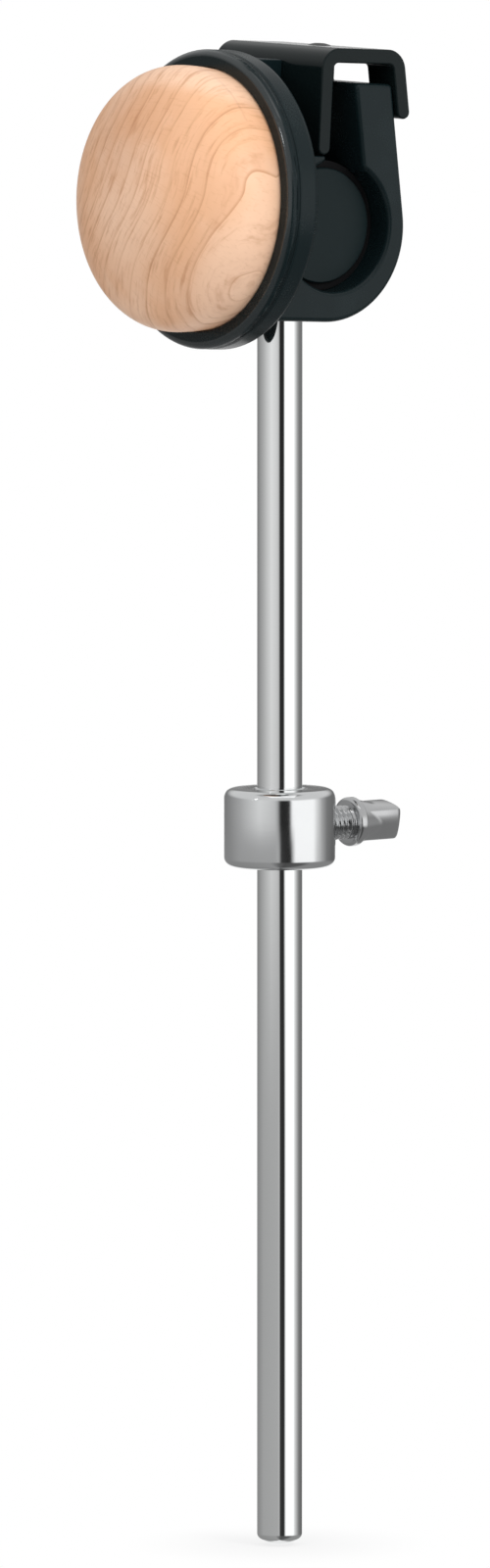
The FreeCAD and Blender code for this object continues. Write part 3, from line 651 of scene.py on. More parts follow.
@dataclass(frozen=True)
class BlackMoulding(Finish):
    """Fine satin black nylon with a faint moulded grain, glossier on the cup's rounded lip."""

    slot: Slot = Slot.BLACK_MOULDING
    colour: Colour = (0.0048, 0.0105, 0.012)
    worn: Colour = (0.0105, 0.0185, 0.0205)
    rough: float = 0.26
    grain: Noise = Noise(3200.0, 3.0, 0.6)
    clouds: Noise = Noise(120.0, 3.0)
    scuff_range: Span = (0.45, 0.8)
    scuff_strength: float = 0.5
    cloud_rough: float = 0.12
    grain_rough: float = 0.1
    gloss: float = 0.18
    relief: Relief = Relief(0.012 * MM, 0.35)
    lip_start: float = 18.45 * MM
    lip_radius: float = 24.9 * MM
    lip_fade: float = 0.3 * MM
    lip_rough: float = 0.08

    def lip(self, nodes: Nodes) -> Value:
        """The front of the cup's rounded lip.

        Args:
            nodes: The finish's nodes.

        Returns:
            1 on the lip, 0 elsewhere.
        """
        x, y, forward = nodes.parts(nodes.turned_place(CUP_FRAME))
        outward = (x * x + y * y) ** 0.5
        front = forward.eased(self.lip_start, self.lip_start + self.lip_fade)
        return front * outward.eased(self.lip_radius, self.lip_radius + self.lip_fade)

    def paint(self, nodes: Nodes) -> None:
        """Moulded grain, cloudy gloss, paler scuffs and the glossier lip.

        Args:
            nodes: The finish's nodes.
        """
        grain = nodes.noise(nodes.place(), self.grain)
        cloud = nodes.noise(nodes.place(), self.clouds)
        scuffs = cloud.eased(*self.scuff_range) * self.scuff_strength
        nodes.principled(
            Base_Color=nodes.mix(scuffs, self.colour, self.worn),
            Roughness=self.rough + (cloud - 0.5) * self.cloud_rough + (grain - 0.5) * self.grain_rough,
            Specular_IOR_Level=self.gloss,
            Coat_Weight=self.lip(nodes),
            Coat_Roughness=self.lip_rough,
            Normal=nodes.bump(grain, self.relief),
        )


@dataclass(frozen=True)
class BlackPaint(Finish):
    """Satin black paint on bent sheet steel, with a fine orange peel."""

    slot: Slot = Slot.BLACK_STEEL
    colour: Colour = (0.0042, 0.0078, 0.0083)
    dusty: Colour = (0.045, 0.05, 0.05)
    rough: float = 0.14
    peel: Noise = Noise(900.0)
    dust: Noise = Noise(5200.0, 2.0, 0.7)
    dust_range: Span = (0.62, 0.8)
    dust_strength: float = 0.35
    peel_rough: float = 0.1
    dust_rough: float = 0.04
    gloss: float = 0.15
    relief: Relief = Relief(0.02 * MM, 0.15)

    def paint(self, nodes: Nodes) -> None:
        """Orange peel, fine dust and cloudy gloss.

        Args:
            nodes: The finish's nodes.
        """
        peel = nodes.noise(nodes.place(), self.peel)
        dust = nodes.noise(nodes.place(), self.dust)
        specks = dust.eased(*self.dust_range) * self.dust_strength
        nodes.principled(
            Base_Color=nodes.mix(specks, self.colour, self.dusty),
            Roughness=self.rough + (peel - 0.5) * self.peel_rough + dust * self.dust_rough,
            Specular_IOR_Level=self.gloss,
            Normal=nodes.bump(peel, self.relief),
        )


@dataclass(frozen=True)
class Rubber(Finish):
    """Matt black rubber with a dusty bloom."""

    slot: Slot = Slot.BUSH_RUBBER
    colour: Colour = (0.004, 0.004, 0.0045)
    bloomed: Colour = (0.014, 0.014, 0.0145)
    grain: Noise = Noise(4000.0, 3.0, 0.6)
    bloom: Noise = Noise(200.0, 3.0)
    bloom_range: Span = (0.5, 0.85)
    bloom_strength: float = 0.4
    rough: float = 0.72
    grain_rough: float = 0.15
    gloss: float = 0.2
    relief: Relief = Relief(0.015 * MM, 0.5)

    def paint(self, nodes: Nodes) -> None:
        """Fine grain and a grey bloom.

        Args:
            nodes: The finish's nodes.
        """
        grain = nodes.noise(nodes.place(), self.grain)
        bloom = nodes.noise(nodes.place(), self.bloom)
        dusted = bloom.eased(*self.bloom_range) * self.bloom_strength
        nodes.principled(
            Base_Color=nodes.mix(dusted, self.colour, self.bloomed),
            Roughness=self.rough + grain * self.grain_rough,
            Specular_IOR_Level=self.gloss,
            Normal=nodes.bump(grain, self.relief),
        )


@dataclass(frozen=True)
class PlatedSteel(Finish):
    """Small screws and inserts: a metal plate with fine tool marks and dull patches."""

    slot: Slot
    colour: Colour
    dull: Colour
    rough: float = 0.24
    metallic: float = 1.0
    marks: Noise = Noise(5000.0, stretch=(0.2, 0.2, 1))
    patches: Noise = Noise(500.0, 3.0)
    patch_range: Span = (0.35, 0.8)
    patch_rough: float = 0.12
    relief: Relief = Relief(0.005 * MM, 0.4)

    def paint(self, nodes: Nodes) -> None:
        """Tool marks and dull patches.

        Args:
            nodes: The finish's nodes.
        """
        marks = nodes.noise(nodes.place(), self.marks)
        patch = nodes.noise(nodes.place(), self.patches)
        nodes.principled(
            Base_Color=nodes.mix(patch.eased(*self.patch_range), self.colour, self.dull),
            Metallic=self.metallic,
            Roughness=self.rough + patch * self.patch_rough,
            Normal=nodes.bump(marks, self.relief),
        )


# The finishes of small pieces
KEY_PLATE = SatinChrome(
    colour=(0.52, 0.525, 0.53),
    dull=(0.34, 0.345, 0.35),
    rough=0.04,
    rings=Noise(7000.0, 3.0, 0.6, (0.03, 1, 0.03)),
)
BARREL_BLACK = BlackMoulding(Slot.PIVOT_BLACK, (0.0045, 0.0112, 0.0125), (0.009, 0.0165, 0.0185), 0.42)
BLACK_OXIDE = PlatedSteel(Slot.BLACK_SCREW, (0.02, 0.02, 0.021), (0.035, 0.034, 0.034), 0.34, 0.6)
BRASS = PlatedSteel(Slot.INSERT_BRASS, (0.72, 0.53, 0.24), (0.55, 0.38, 0.16), 0.2)
ZINC = PlatedSteel(Slot.ZINC_SCREW, (0.6, 0.6, 0.57), (0.42, 0.42, 0.4), 0.22)


# Making meshes


def link_mesh(name: str, mesh: bmesh.types.BMesh) -> bpy.types.Object:
    """Make an object of a bmesh.

    Args:
        name: The piece's name.
        mesh: The mesh, which is freed.

    Returns:
        The new object, smooth shaded.
    """
    data = bpy.data.meshes.new(name)
    bmesh.ops.recalc_face_normals(mesh, faces=mesh.faces)
    for face in mesh.faces:
        face.smooth = True
    mesh.to_mesh(data)
    mesh.free()
    made = bpy.data.objects.new(name, data)
    bpy.context.scene.collection.objects.link(made)
    return made


@dataclass
class TurnedForm:
    """A form built from rings along an axis. A ring's radius may vary round the ring."""

    name: str
    frame: Matrix
    columns: int
    rings: list[tuple[float, Radius]] = field(default_factory=list)

    def ring(self, along: float, radius: float | Radius) -> None:
        """Add a ring at a distance along the axis, in millimetres."""
        self.rings.append((along, radius if callable(radius) else lambda _angle, r=radius: r))

    def arc(self, centre: Span, radius: float, start: float, end: float, steps: int) -> None:
        """Add the rings of an arc in the profile.

        Args:
            centre: Distance along the axis and from it.
            radius: The arc's radius.
            start: First angle, in degrees, from the axis's direction towards outwards.
            end: Last angle.
            steps: How many pieces the arc has.
        """
        for step in range(steps + 1):
            angle = math.radians(start + (end - start) * step / steps)
            self.ring(centre[0] + radius * math.cos(angle), centre[1] + radius * math.sin(angle))

    def crowned_end(self, start: float, radius: float, corner: float, height: float, steps: int) -> None:
        """Add a round corner and the crown that meets it without an edge, out to the axis.

        Args:
            start: Where the corner leaves the side, along the axis.
            radius: The side's radius there.
            corner: The corner's radius.
            height: How far the crown reaches beyond the start, on the axis.
            steps: How many pieces the crown has; the corner has half as many.
        """
        inset = radius - corner
        crown = (height**2 + inset**2 - corner**2) / (height - corner) / 2
        meet = math.degrees(math.atan2(inset, crown - height))
        self.arc((start, inset), corner, 90, meet, steps // 2)
        self.arc((start + height - crown, 0.0), crown, meet, CROWN_END_DEGREES, steps)

    def build(self, closed: bool = False) -> bpy.types.Object:
        """Make the piece.

        Args:
            closed: Whether the last ring joins the first, as on a hollow form. Otherwise the ends
                are capped.

        Returns:
            The piece, whose form turns about the frame's z axis.
        """
        mesh = bmesh.new()
        loops = []
        for along, radius in self.rings:
            loop = []
            for column in range(self.columns):
                angle = 2 * math.pi * column / self.columns
                reach = radius(angle)
                place = Vector((reach * math.cos(angle), reach * math.sin(angle), along)) * MM
                loop.append(mesh.verts.new(self.frame @ place))
            loops.append(loop)
        pairs = list(zip(loops, loops[1:]))
        if closed:
            pairs.append((loops[-1], loops[0]))
        for low, high in pairs:
            for column in range(self.columns):
                after = (column + 1) % self.columns
                mesh.faces.new((low[column], low[after], high[after], high[column]))
        if not closed:
            for loop in (loops[0], loops[-1]):
                middle = mesh.verts.new(sum((v.co for v in loop), Vector()) / len(loop))
                for column in range(self.columns):
                    mesh.faces.new((loop[column], loop[(column + 1) % self.columns], middle))
        return link_mesh(self.name, mesh)


def rounded_profile(corners: Sequence[tuple[float, float, float]], steps: int) -> list[Span]:
    """Round the corners of a closed profile with arcs.

    Args:
        corners: Distance along the axis, distance from it, and how far the rounding reaches each way.
        steps: How many pieces each rounding has.

    Returns:
        The profile's points.
    """
    points = []
    for index, (along, out, reach) in enumerate(corners):
        here = Vector((along, out))
        back = (Vector(corners[index - 1][:2]) - here).normalized()
        onward = (Vector(corners[(index + 1) % len(corners)][:2]) - here).normalized()
        half = back.angle(onward) / 2
        centre = here + (back + onward).normalized() * reach / math.cos(half)
        start = here + back * reach - centre
        turn = start.angle_signed(here + onward * reach - centre)
        for step in range(steps + 1):
            points.append(tuple(centre + Matrix.Rotation(-turn * step / steps, 2) @ start))
    return points


def cut_away(piece: bpy.types.Object, tool: bpy.types.Object) -> None:
    """Cut one piece's form out of another.

    Args:
        piece: The piece that is cut.
        tool: The form that is taken out of it, which is deleted.
    """
    cut = piece.modifiers.new("cut", "BOOLEAN")
    cut.operation = "DIFFERENCE"
    cut.solver = "EXACT"
    cut.object = tool
    graph = bpy.context.evaluated_depsgraph_get()
    result = bpy.data.meshes.new_from_object(piece.evaluated_get(graph))
    piece.modifiers.clear()
    piece.data = result
    bpy.data.objects.remove(tool)


def sharpened(piece: bpy.types.Object, degrees: float) -> None:
    """Mark the edges that bend more than an angle as sharp."""
    piece.data.set_sharp_from_angle(angle=math.radians(degrees))


def eased_copy(node: bpy.types.Object, name: str, ease: float) -> bpy.types.Object:
    """Copy a CAD node with its sharp edges rounded, and flat faces shaded flat beside them.

    Args:
        node: The CAD node.
        name: The new piece's name.
        ease: How far the rounding reaches, in millimetres.

    Returns:
        The new piece, in the node's place.
    """
    mesh = bmesh.new()
    mesh.from_mesh(node.data)
    bmesh.ops.remove_doubles(mesh, verts=mesh.verts, dist=SAME_POINT)
    flat = math.radians(FLAT_DEGREES)
    bmesh.ops.dissolve_limit(mesh, angle_limit=flat, verts=mesh.verts, edges=mesh.edges)
    surface = BVHTree.FromBMesh(mesh)
    bend = math.radians(EASED_DEGREES)
    bmesh.ops.bevel(
        mesh,
        geom=[e for e in mesh.edges if e.is_manifold and e.calc_face_angle() > bend],
        offset=ease * MM,
        offset_type="OFFSET",
        segments=EASE_STEPS,
        profile=0.5,
        affect="EDGES",
        clamp_overlap=False,
    )
    # Where several edges meet, a rounding can overshoot; its corner goes back to the CAD surface
    for corner in mesh.verts:
        nearest, _, _, gap = surface.find_nearest(corner.co)
        if gap > ease * MM / 2:
            corner.co = nearest
    piece = link_mesh(name, mesh)
    weigh = piece.modifiers.new("even_normals", "WEIGHTED_NORMAL")
    weigh.weight = EVEN_WEIGHT
    weigh.keep_sharp = True
    return piece


def dressed(piece: bpy.types.Object, finish: Finish) -> bpy.types.Object:
    """Give a piece, or a CAD node that stays, its finish.

    Args:
        piece: The piece.
        finish: Its finish.

    Returns:
        The piece.
    """
    piece.data.materials.clear()
    piece.data.materials.append(finish.material())
    return piece


def settled(piece: bpy.types.Object, finish: Finish, body: Body, *nodes: str) -> bpy.types.Object:
    """Give a piece its finish, its body and the CAD nodes that it stands for.

    Args:
        piece: The piece.
        finish: Its finish.
        body: The body that it rides on.
        nodes: The names of the CAD nodes.

    Returns:
        The piece.
    """
    dressed(piece, finish)
    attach(piece, body.value)
    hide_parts(*nodes)
    return piece


# Sub-assemblies


@dataclass
class Rod:
    """The chromed rod, from its tapped top to its domed tip."""

    radius: float = 4.0
    tip_round: float = 1.25
    tip_dome: float = 0.9
    mark_height: float = 118.35
    mark_width: float = 1.2
    mark_depth: float = 0.25
    top: float = 233.8
    tap_radius: float = 2.03
    tap_depth: float = 10.1
    ease: float = 0.12
    top_ease: float = 0.48
    mark_margin: float = 0.36
    columns: int = 128
    tip_steps: int = 16
    crease: float = 35.0

    def build(self) -> list[bpy.types.Object]:
        """Turn the rod from its top down, and dress it.

        Returns:
            The rod.
        """
        form = TurnedForm("chromed_rod", Matrix.Rotation(math.pi, 4, "X"), self.columns)
        low, high = self.mark_height, self.mark_height + self.mark_width
        floor = self.radius - self.mark_depth
        for height, radius in (
            (self.top - self.tap_depth, CORE_RADIUS),
            (self.top - self.tap_depth, self.tap_radius),
            (self.top, self.tap_radius),
            (self.top, self.radius - self.top_ease),
            (self.top - self.top_ease, self.radius),
            (high + self.mark_margin, self.radius),
            (high + self.ease, self.radius),
            (high, self.radius - self.ease / 2),
            (high - self.ease / 2, floor),
            (low + self.ease / 2, floor),
            (low, self.radius - self.ease / 2),
            (low - self.ease, self.radius),
            (low - self.mark_margin, self.radius),
        ):
            form.ring(-height, radius)
        dome = self.tip_round + self.tip_dome
        form.crowned_end(0.0, self.radius, self.tip_round, dome, self.tip_steps)
        piece = form.build()
        sharpened(piece, self.crease)
        return [settled(piece, Chrome(), Body.ROD, "rod")]


@dataclass
class MemoryCollar:
    """The plain collar, with rounded edges and a side hole for its key screw."""

    height: float = 118.35
    length: float = 13.7
    radius: float = 9.85
    edge_round: float = 1.6
    bore: float = 4.1
    countersink: float = 0.6
    hole: float = 3.06
    ease: float = 0.2
    columns: int = 128
    hole_columns: int = 48
    round_steps: int = 10
    crease: float = 40.0

    def build(self) -> list[bpy.types.Object]:
        """Turn the collar, bore its side hole and dress it.

        Returns:
            The collar.
        """
        base = Matrix.Translation((0, 0, self.height * MM))
        form = TurnedForm("memory_collar_ring", base, self.columns)
        mouth = self.bore + self.countersink
        corners = [
            (0.0, mouth, self.ease),
            (0.0, self.radius, self.edge_round),
            (self.length, self.radius, self.edge_round),
            (self.length, mouth, self.ease),
            (self.length - self.countersink, self.bore, self.ease),
            (self.countersink, self.bore, self.ease),
        ]
        for along, radius in rounded_profile(corners, self.round_steps):
            form.ring(along, radius)
        piece = form.build(closed=True)
        side = Matrix.Translation((0, 0, (self.height + self.length / 2) * MM)) @ TOWARDS_REAR
        tool = TurnedForm("collar_drill", side, self.hole_columns)
        tool.ring(0.0, self.hole)
        tool.ring(2 * self.radius, self.hole)
        cut_away(piece, tool.build())
        sharpened(piece, self.crease)
        return [settled(piece, SatinChrome(), Body.COLLAR, "memory_collar")]


@dataclass
class KeyScrew:
    """The collar's key screw: helical thread, round flange, square head with turned corners."""

    height: float = 125.2
    tip: float = 4.15
    tip_chamfer: float = 0.6
    thread_radius: float = 3.0
    thread_depth: float = 0.5
    groove_share: float = 0.44
    pitch: float = 1.0
    flange_start: float = 14.85
    flange_rim: float = 0.35
    flange_length: float = 1.75
    flange_round: float = 0.7
    neck_length: float = 4.4
    neck_taper: float = 13.0
    neck_blend: float = 0.12
    head_radius: float = 4.0
    head_length: float = 8.35
    head_flats: float = 6.3
    head_bulge: float = 0.2
    head_turn: float = 12.0
    head_round: float = 1.2
    corner_power: float = 16.0
    columns: int = 144
    rows_per_turn: int = 14
    flange_steps: int = 8
    rim_steps: int = 6
    neck_rows: int = 44
    round_steps: int = 8
    crease: float = 40.0

    def thread(self, along: float) -> Radius:
        """The thread's radius round a ring, a helix that fades at both ends.

        Args:
            along: Distance from the rod's axis.

        Returns:
            The radius as a function of the angle.
        """
        from_tip = (along - self.tip) / self.tip_chamfer
        to_flange = (self.flange_start - along) / self.pitch
        fade = max(0.0, min(1.0, from_tip, to_flange))
        crest = self.thread_radius - (1 - min(1.0, from_tip)) * self.tip_chamfer

        def radius(angle: float) -> float:
            """The thread's radius at an angle."""
            turn = (along / self.pitch - angle / (2 * math.pi)) % 1.0
            groove = max(0.0, 1.0 - abs(turn - 0.5) / self.groove_share)
            return crest - self.thread_depth * groove * fade

        return radius

    def square(self, shrink: float) -> Radius:
        """The head's section: a square with slightly bowed sides, whose corners are turned round.

        Args:
            shrink: How far every side is pulled in.

        Returns:
            The radius as a function of the angle.
        """
        quarter = math.pi / 2
        corner = self.head_radius - shrink
        power = self.corner_power

        def radius(angle: float) -> float:
            """The section's radius at an angle."""
            off = (angle - math.radians(self.head_turn) + quarter / 2) % quarter - quarter / 2
            bulge = self.head_bulge * math.tan(off) ** 2
            flat = (self.head_flats / 2 - shrink - bulge) / math.cos(off)
            return (flat**-power + corner**-power) ** (-1 / power)

        return radius

    def neck(self, beyond: float) -> Radius:
        """The head's section where it tapers out of the flange.

        Args:
            beyond: Distance beyond the flange.

        Returns:
            The radius as a function of the angle: the square, or the neck's cone where that stands out.
        """
        cone = self.head_radius - beyond * math.tan(math.radians(self.neck_taper))
        square = self.square(0.0)

        def radius(angle: float) -> float:
            """The neck's radius at an angle."""
            flat = square(angle)
            near = max(0.0, 1.0 - abs(flat - cone) / self.neck_blend)
            return max(flat, cone) + self.neck_blend * near**2 / 4

        return radius

    def build(self) -> list[bpy.types.Object]:
        """Build the screw and dress it.

        Returns:
            The screw.
        """
        side = Matrix.Translation((0, 0, self.height * MM)) @ TOWARDS_REAR
        form = TurnedForm("collar_key_screw", side, self.columns)
        rows = round((self.flange_start - self.tip) / self.pitch * self.rows_per_turn)
        for row in range(rows + 1):
            along = self.tip + (self.flange_start - self.tip) * row / rows
            form.ring(along, self.thread(along))
        neck = self.flange_start + self.flange_length
        inner = self.head_radius + self.flange_rim - self.flange_round
        back = (self.flange_start + self.flange_round, inner)
        form.arc(back, self.flange_round, 180, 90, self.flange_steps)
        rim = (neck - self.flange_rim, self.head_radius)
        form.arc(rim, self.flange_rim, 90, 0, self.rim_steps)
        for step in range(1, self.neck_rows + 1):
            beyond = self.neck_length * step / self.neck_rows
            form.ring(neck + beyond, self.neck(beyond))
        end = neck + self.head_length
        form.ring(end - self.head_round, self.square(0.0))
        for step in range(1, self.round_steps + 1):
            angle = math.pi / 2 * step / self.round_steps
            along = end - self.head_round * (1 - math.sin(angle))
            form.ring(along, self.square(self.head_round * (1 - math.cos(angle))))
        piece = form.build()
        sharpened(piece, self.crease)
        return [settled(piece, KEY_PLATE, Body.KEY, "key_screw")]


@dataclass
class Striker:
    """The maple striker: a short seat in the cup, a belly, and a dome of two arcs."""

    back: float = 15.7
    lip: float = 19.3
    seat_radius: float = 23.0
    radius: float = 23.35
    belly: float = 4.6
    crown: float = 13.69
    edge_radius: float = 9.3
    ease: float = 0.3
    pith_side: float = -27.3
    pith_front: float = -25.0
    pith_rise: float = 15.5
    pith_turn: float = 3.2
    pith_slope: float = -17.2
    columns: int = 192
    belly_steps: int = 10
    crown_steps: int = 60
    crease: float = 50.0

    def build(self) -> list[bpy.types.Object]:
        """Turn the striker and dress it.

        Returns:
            The striker.
        """
        form = TurnedForm("maple_striker", CUP_FRAME, self.columns)
        form.ring(self.back, CORE_RADIUS)
        form.ring(self.back, self.seat_radius - self.ease)
        form.ring(self.back + self.ease, self.seat_radius)
        swell = self.radius - self.seat_radius
        bow = (self.belly**2 / swell + swell) / 2
        widest = self.lip + self.belly
        start = 90 + math.degrees(math.asin(self.belly / bow))
        form.arc((widest, self.radius - bow), bow, start, 90, self.belly_steps)
        form.crowned_end(widest, self.radius, self.edge_radius, self.crown, self.crown_steps)
        piece = form.build()
        sharpened(piece, self.crease)
        return [settled(piece, Maple(self.grain()), Body.HEAD, "striker")]

    def grain(self) -> Matrix:
        """The wood's own frame.

        Returns:
            The frame, with z along the pith, which runs from front to back, high at one side.
        """
        pith = Matrix.Rotation(math.radians(self.pith_turn), 4, "Z")
        pith = pith @ Matrix.Rotation(math.radians(self.pith_slope), 4, "X") @ TOWARDS_REAR
        place = Vector((self.pith_side, self.pith_front, self.pith_rise)) * MM
        return HEAD_FRAME @ Matrix.Translation(place) @ pith


@dataclass
class Head:
    """The moulded head with its bracket and screws, made from the CAD nodes."""

    nodes: dict[str, bpy.types.Object]
    moulding_ease: float = 0.3
    bracket_ease: float = 0.35

    def build(self) -> list[bpy.types.Object]:
        """Ease the edges of the moulding and the bracket, and dress all.

        Returns:
            The moulding, the bracket, the screws and the insert.
        """
        shell = eased_copy(self.nodes["head_shell"], "moulded_head", self.moulding_ease)
        bracket = eased_copy(self.nodes["keeper_bracket"], "bent_bracket", self.bracket_ease)
        return [
            settled(shell, BlackMoulding(), Body.HEAD, "head_shell"),
            settled(bracket, BlackPaint(), Body.HEAD, "keeper_bracket"),
            dressed(self.nodes["striker_screws"], BLACK_OXIDE),
            dressed(self.nodes["bracket_screw"], BLACK_OXIDE),
            dressed(self.nodes["bracket_insert"], BRASS),
        ]


@dataclass
class Pivot:
    """The barrel across the rod's top, its rubber sleeve, screw and washer, in their CAD shapes."""

    nodes: dict[str, bpy.types.Object]

    def build(self) -> list[bpy.types.Object]:
        """Dress the CAD nodes.

        Returns:
            The barrel, the sleeve, the screw and the washer.
        """
        return [
            dressed(self.nodes["pivot_barrel"], BARREL_BLACK),
            dressed(self.nodes["pivot_bush"], Rubber()),
            dressed(self.nodes["rod_screw"], ZINC),
            dressed(self.nodes["lock_washer"], ZINC),
        ]


# Studio


@dataclass(frozen=True)
class Lamp:
    """A soft lamp: a square one, or a round one with a beam, of a width in degrees, on the head alone.

    It hangs at a turn to the camera's right and an elevation, both in degrees. Lamps that aren't
    mirrored light the pieces, but don't show in their gloss.
    """

    name: str
    turn: float
    elevation: float
    reach: float
    size: float
    watts: float
    aim_height: float = 0.18
    beam: float = 0.0
    mirrored: bool = True


@dataclass
class Studio:
    """Camera, lamps, pale floor and a white surround with two soft boxes.

    The levels give how bright the surround is at degrees to the camera's right. The edges between its
    bands are heights of directions, from -1 straight down to 1 straight up.
    """

    azimuth: float = 52.4
    elevation: float = 5.5
    distance: float = 3.5
    frame_height: float = 0.2759
    sensor: float = 36.0
    clip: Span = (0.05, 60.0)
    aim_right: float = -6.1 * MM
    aim_height: float = 132.8 * MM
    floor_radius: float = 3.0
    floor_columns: int = 96
    floor_height: float = -2.15 * MM
    floor_tone: float = 0.68
    floor_white: float = 0.8
    floor_fade: Span = (0.004, 0.03)
    lamp_front: float = -0.01
    beam_blend: float = 0.3
    lamps: tuple[Lamp, ...] = (
        Lamp("left_lamp", -22, 32, reach=1.2, size=0.7, watts=2.7, mirrored=False),
        Lamp("right_lamp", 44, 34, reach=1.2, size=0.4, watts=6.2, mirrored=False),
        Lamp("side_lamp", -54, 26, reach=1.2, size=0.085, watts=4.6, aim_height=0.24, beam=7.0),
        Lamp("top_lamp", 10, 80, reach=1.1, size=0.8, watts=1.8),
    )
    ceiling: float = 0.8
    ceiling_edge: Span = (0.15, 0.5)
    zenith: float = 0.1
    zenith_edge: Span = (0.88, 0.97)
    wall_edge: Span = (-0.14, -0.07)
    ground_edge: Span = (-0.4, -0.16)
    rear_turn: Span = (0.44, 0.47)
    rear_height: Span = (0.035, 0.075)
    upper: Levels = (
        (-150, 0.24),
        (-123, 0.34),
        (-90, 0.51),
        (-64, 0.73),
        (-42, 0.92),
        (-22, 0.82),
        (-10, 0.72),
        (-4, 0.5),
        (1, 0.02),
        (20, 0.03),
        (26, 1.35),
        (74, 1.35),
        (84, 0.95),
        (99, 0.48),
        (115, 0.25),
        (140, 0.19),
    )
    lower: Levels = (
        (-150, 0.3),
        (-123, 0.33),
        (-90, 0.43),
        (-10, 0.47),
        (-2, 0.57),
        (3, 0.05),
        (23, 0.02),
        (29, 0.8),
        (33, 1.35),
        (74, 1.35),
        (84, 0.85),
        (99, 0.5),
        (115, 0.24),
        (140, 0.15),
    )
    ground: Levels = (
        (-150, 0.3),
        (-20, 0.38),
        (0, 0.15),
        (12, 0.09),
        (55, 0.14),
        (72, 0.3),
        (95, 0.32),
        (150, 0.3),
    )

    def towards(self, turn: float, elevation: float) -> Vector:
        """A direction from the object.

        Args:
            turn: Degrees to the camera's right.
            elevation: Degrees above the horizon.

        Returns:
            The unit vector.
        """
        a = math.radians(self.azimuth + turn)
        e = math.radians(elevation)
        return Vector((math.sin(a) * math.cos(e), -math.cos(a) * math.cos(e), math.sin(e)))

    def add_camera(self) -> None:
        """Stand the camera at the photograph's angle."""
        data = bpy.data.cameras.new("camera")
        data.sensor_width = self.sensor
        data.lens = self.sensor * self.distance / self.frame_height
        data.clip_start, data.clip_end = self.clip
        camera = bpy.data.objects.new("camera", data)
        bpy.context.scene.collection.objects.link(camera)
        back = self.towards(0, self.elevation)
        aim = self.towards(90, 0) * self.aim_right + Vector((0, 0, self.aim_height))
        camera.location = aim + back * self.distance
        camera.rotation_mode = "QUATERNION"
        camera.rotation_quaternion = (-back).to_track_quat("-Z", "Y")
        bpy.context.scene.camera = camera

    def add_lamp(self, lamp: Lamp) -> None:
        """Hang a lamp that faces the object.

        Args:
            lamp: Its place, size and power.
        """
        data = bpy.data.lights.new(lamp.name, "SPOT" if lamp.beam else "AREA")
        data.energy = lamp.watts
        if lamp.beam:
            data.shadow_soft_size = lamp.size
            data.spot_size = math.radians(lamp.beam)
            data.spot_blend = self.beam_blend
        else:
            data.size = lamp.size
        hung = bpy.data.objects.new(lamp.name, data)
        bpy.context.scene.collection.objects.link(hung)
        way = self.towards(lamp.turn, lamp.elevation)
        hung.location = Vector((0, self.lamp_front, lamp.aim_height)) + way * lamp.reach
        hung.rotation_mode = "QUATERNION"
        hung.rotation_quaternion = way.to_track_quat("Z", "Y")
        hung.visible_glossy = lamp.mirrored

    def add_floor(self) -> None:
        """Lay a pale round floor under the rod's tip, white further out."""
        mesh = bmesh.new()
        bmesh.ops.create_circle(
            mesh,
            cap_ends=True,
            segments=self.floor_columns,
            radius=self.floor_radius,
        )
        floor = link_mesh("studio_floor", mesh)
        floor.location.z = self.floor_height
        floor.visible_glossy = False
        made = bpy.data.materials.new("pale_floor")
        made.use_nodes = True
        nodes = Nodes(made.node_tree)
        x, y, _ = nodes.parts(nodes.place())
        far = ((x * x + y * y) ** 0.5).eased(*self.floor_fade)
        whiteness = far * (1 - self.floor_white) + self.floor_white
        seen = nodes.add("ShaderNodeLightPath", {}, {}, "Is Camera Ray")
        diffuse = nodes.add("ShaderNodeBsdfDiffuse", {}, {"Color": (self.floor_tone,) * 3})
        white = nodes.add("ShaderNodeEmission", {}, {"Color": WHITE, "Strength": 1.0})
        nodes.surface(nodes.add("ShaderNodeMixShader", {}, {0: seen * whiteness, 1: diffuse, 2: white}))
        floor.data.materials.append(made)

    @staticmethod
    def ring_of(nodes: Nodes, turn: Value, levels: Levels) -> Value:
        """Soft boxes and dark gaps round the horizon.

        Args:
            nodes: The world's nodes.
            turn: The direction, from 0 at the left of the rear to 1 at its right.
            levels: Degrees to the camera's right, and how bright it is there.

        Returns:
            The light from that direction.
        """
        return nodes.ramp(turn, [((degrees + 180) / 360, (level,) * 3) for degrees, level in levels])

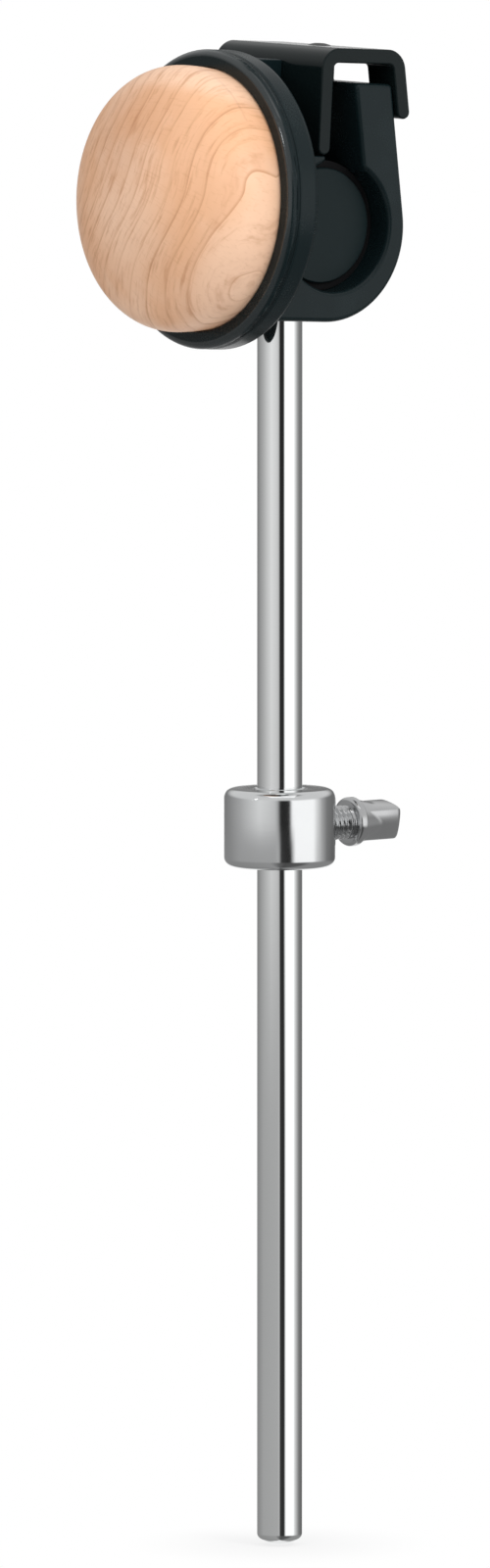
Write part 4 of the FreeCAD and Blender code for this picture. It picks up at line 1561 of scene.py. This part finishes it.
    def add_surround(self) -> None:
        """A white surround whose soft boxes and dark gaps stand round the object, seen in the metal."""
        world = bpy.data.worlds.new("studio")
        bpy.context.scene.world = world
        world.use_nodes = True
        nodes = Nodes(world.node_tree, "ShaderNodeOutputWorld")
        way = nodes.add("ShaderNodeTexCoord", {}, {}, "Generated")
        ahead = nodes.vector("DOT_PRODUCT", way, tuple(self.towards(0, 0)))
        aside = nodes.vector("DOT_PRODUCT", way, tuple(self.towards(90, 0)))
        turn = aside.arctangent(ahead) / (2 * math.pi) + 0.5
        _, _, up = nodes.parts(way)
        upper, lower, ground = (
            self.ring_of(nodes, turn, levels) for levels in (self.upper, self.lower, self.ground)
        )
        light = nodes.mix(up.eased(*self.wall_edge), lower, upper)
        light = nodes.mix(up.eased(*self.ground_edge), ground, light)
        light = nodes.mix(up.eased(*self.ceiling_edge), light, (self.ceiling,) * 3)
        light = nodes.mix(up.eased(*self.zenith_edge), light, (self.zenith,) * 3)
        rear = (turn - 0.5).absolute().eased(*self.rear_turn) * (1 - up.eased(*self.rear_height))
        camera, glossy, clear = (
            nodes.add("ShaderNodeLightPath", {}, {}, f"Is {kind} Ray")
            for kind in ("Camera", "Glossy", "Transmission")
        )
        seen = (camera + (glossy + clear) * rear).limited()
        studio = nodes.add("ShaderNodeBackground", {}, {"Color": light, "Strength": 1.0})
        white = nodes.add("ShaderNodeBackground", {}, {"Color": WHITE, "Strength": 1.0})
        nodes.surface(nodes.add("ShaderNodeMixShader", {}, {0: seen, 1: studio, 2: white}))

    def build(self) -> None:
        """Set up the whole studio."""
        bpy.context.scene.view_settings.view_transform = "Standard"
        self.add_camera()
        self.add_floor()
        self.add_surround()
        for lamp in self.lamps:
            self.add_lamp(lamp)


def main() -> None:
    """Build the beater round its CAD frame, and the studio round the beater."""
    logging.basicConfig(level=logging.INFO, format="%(name)s: %(message)s")
    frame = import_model()
    nodes = frame["nodes"]
    Studio().build()
    for assembly in (Rod(), MemoryCollar(), KeyScrew(), Striker(), Head(nodes), Pivot(nodes)):
        for piece in assembly.build():
            LOG.info("%s: %d vertices", piece.name, len(piece.data.vertices))


if __name__ == "__main__":
    main()
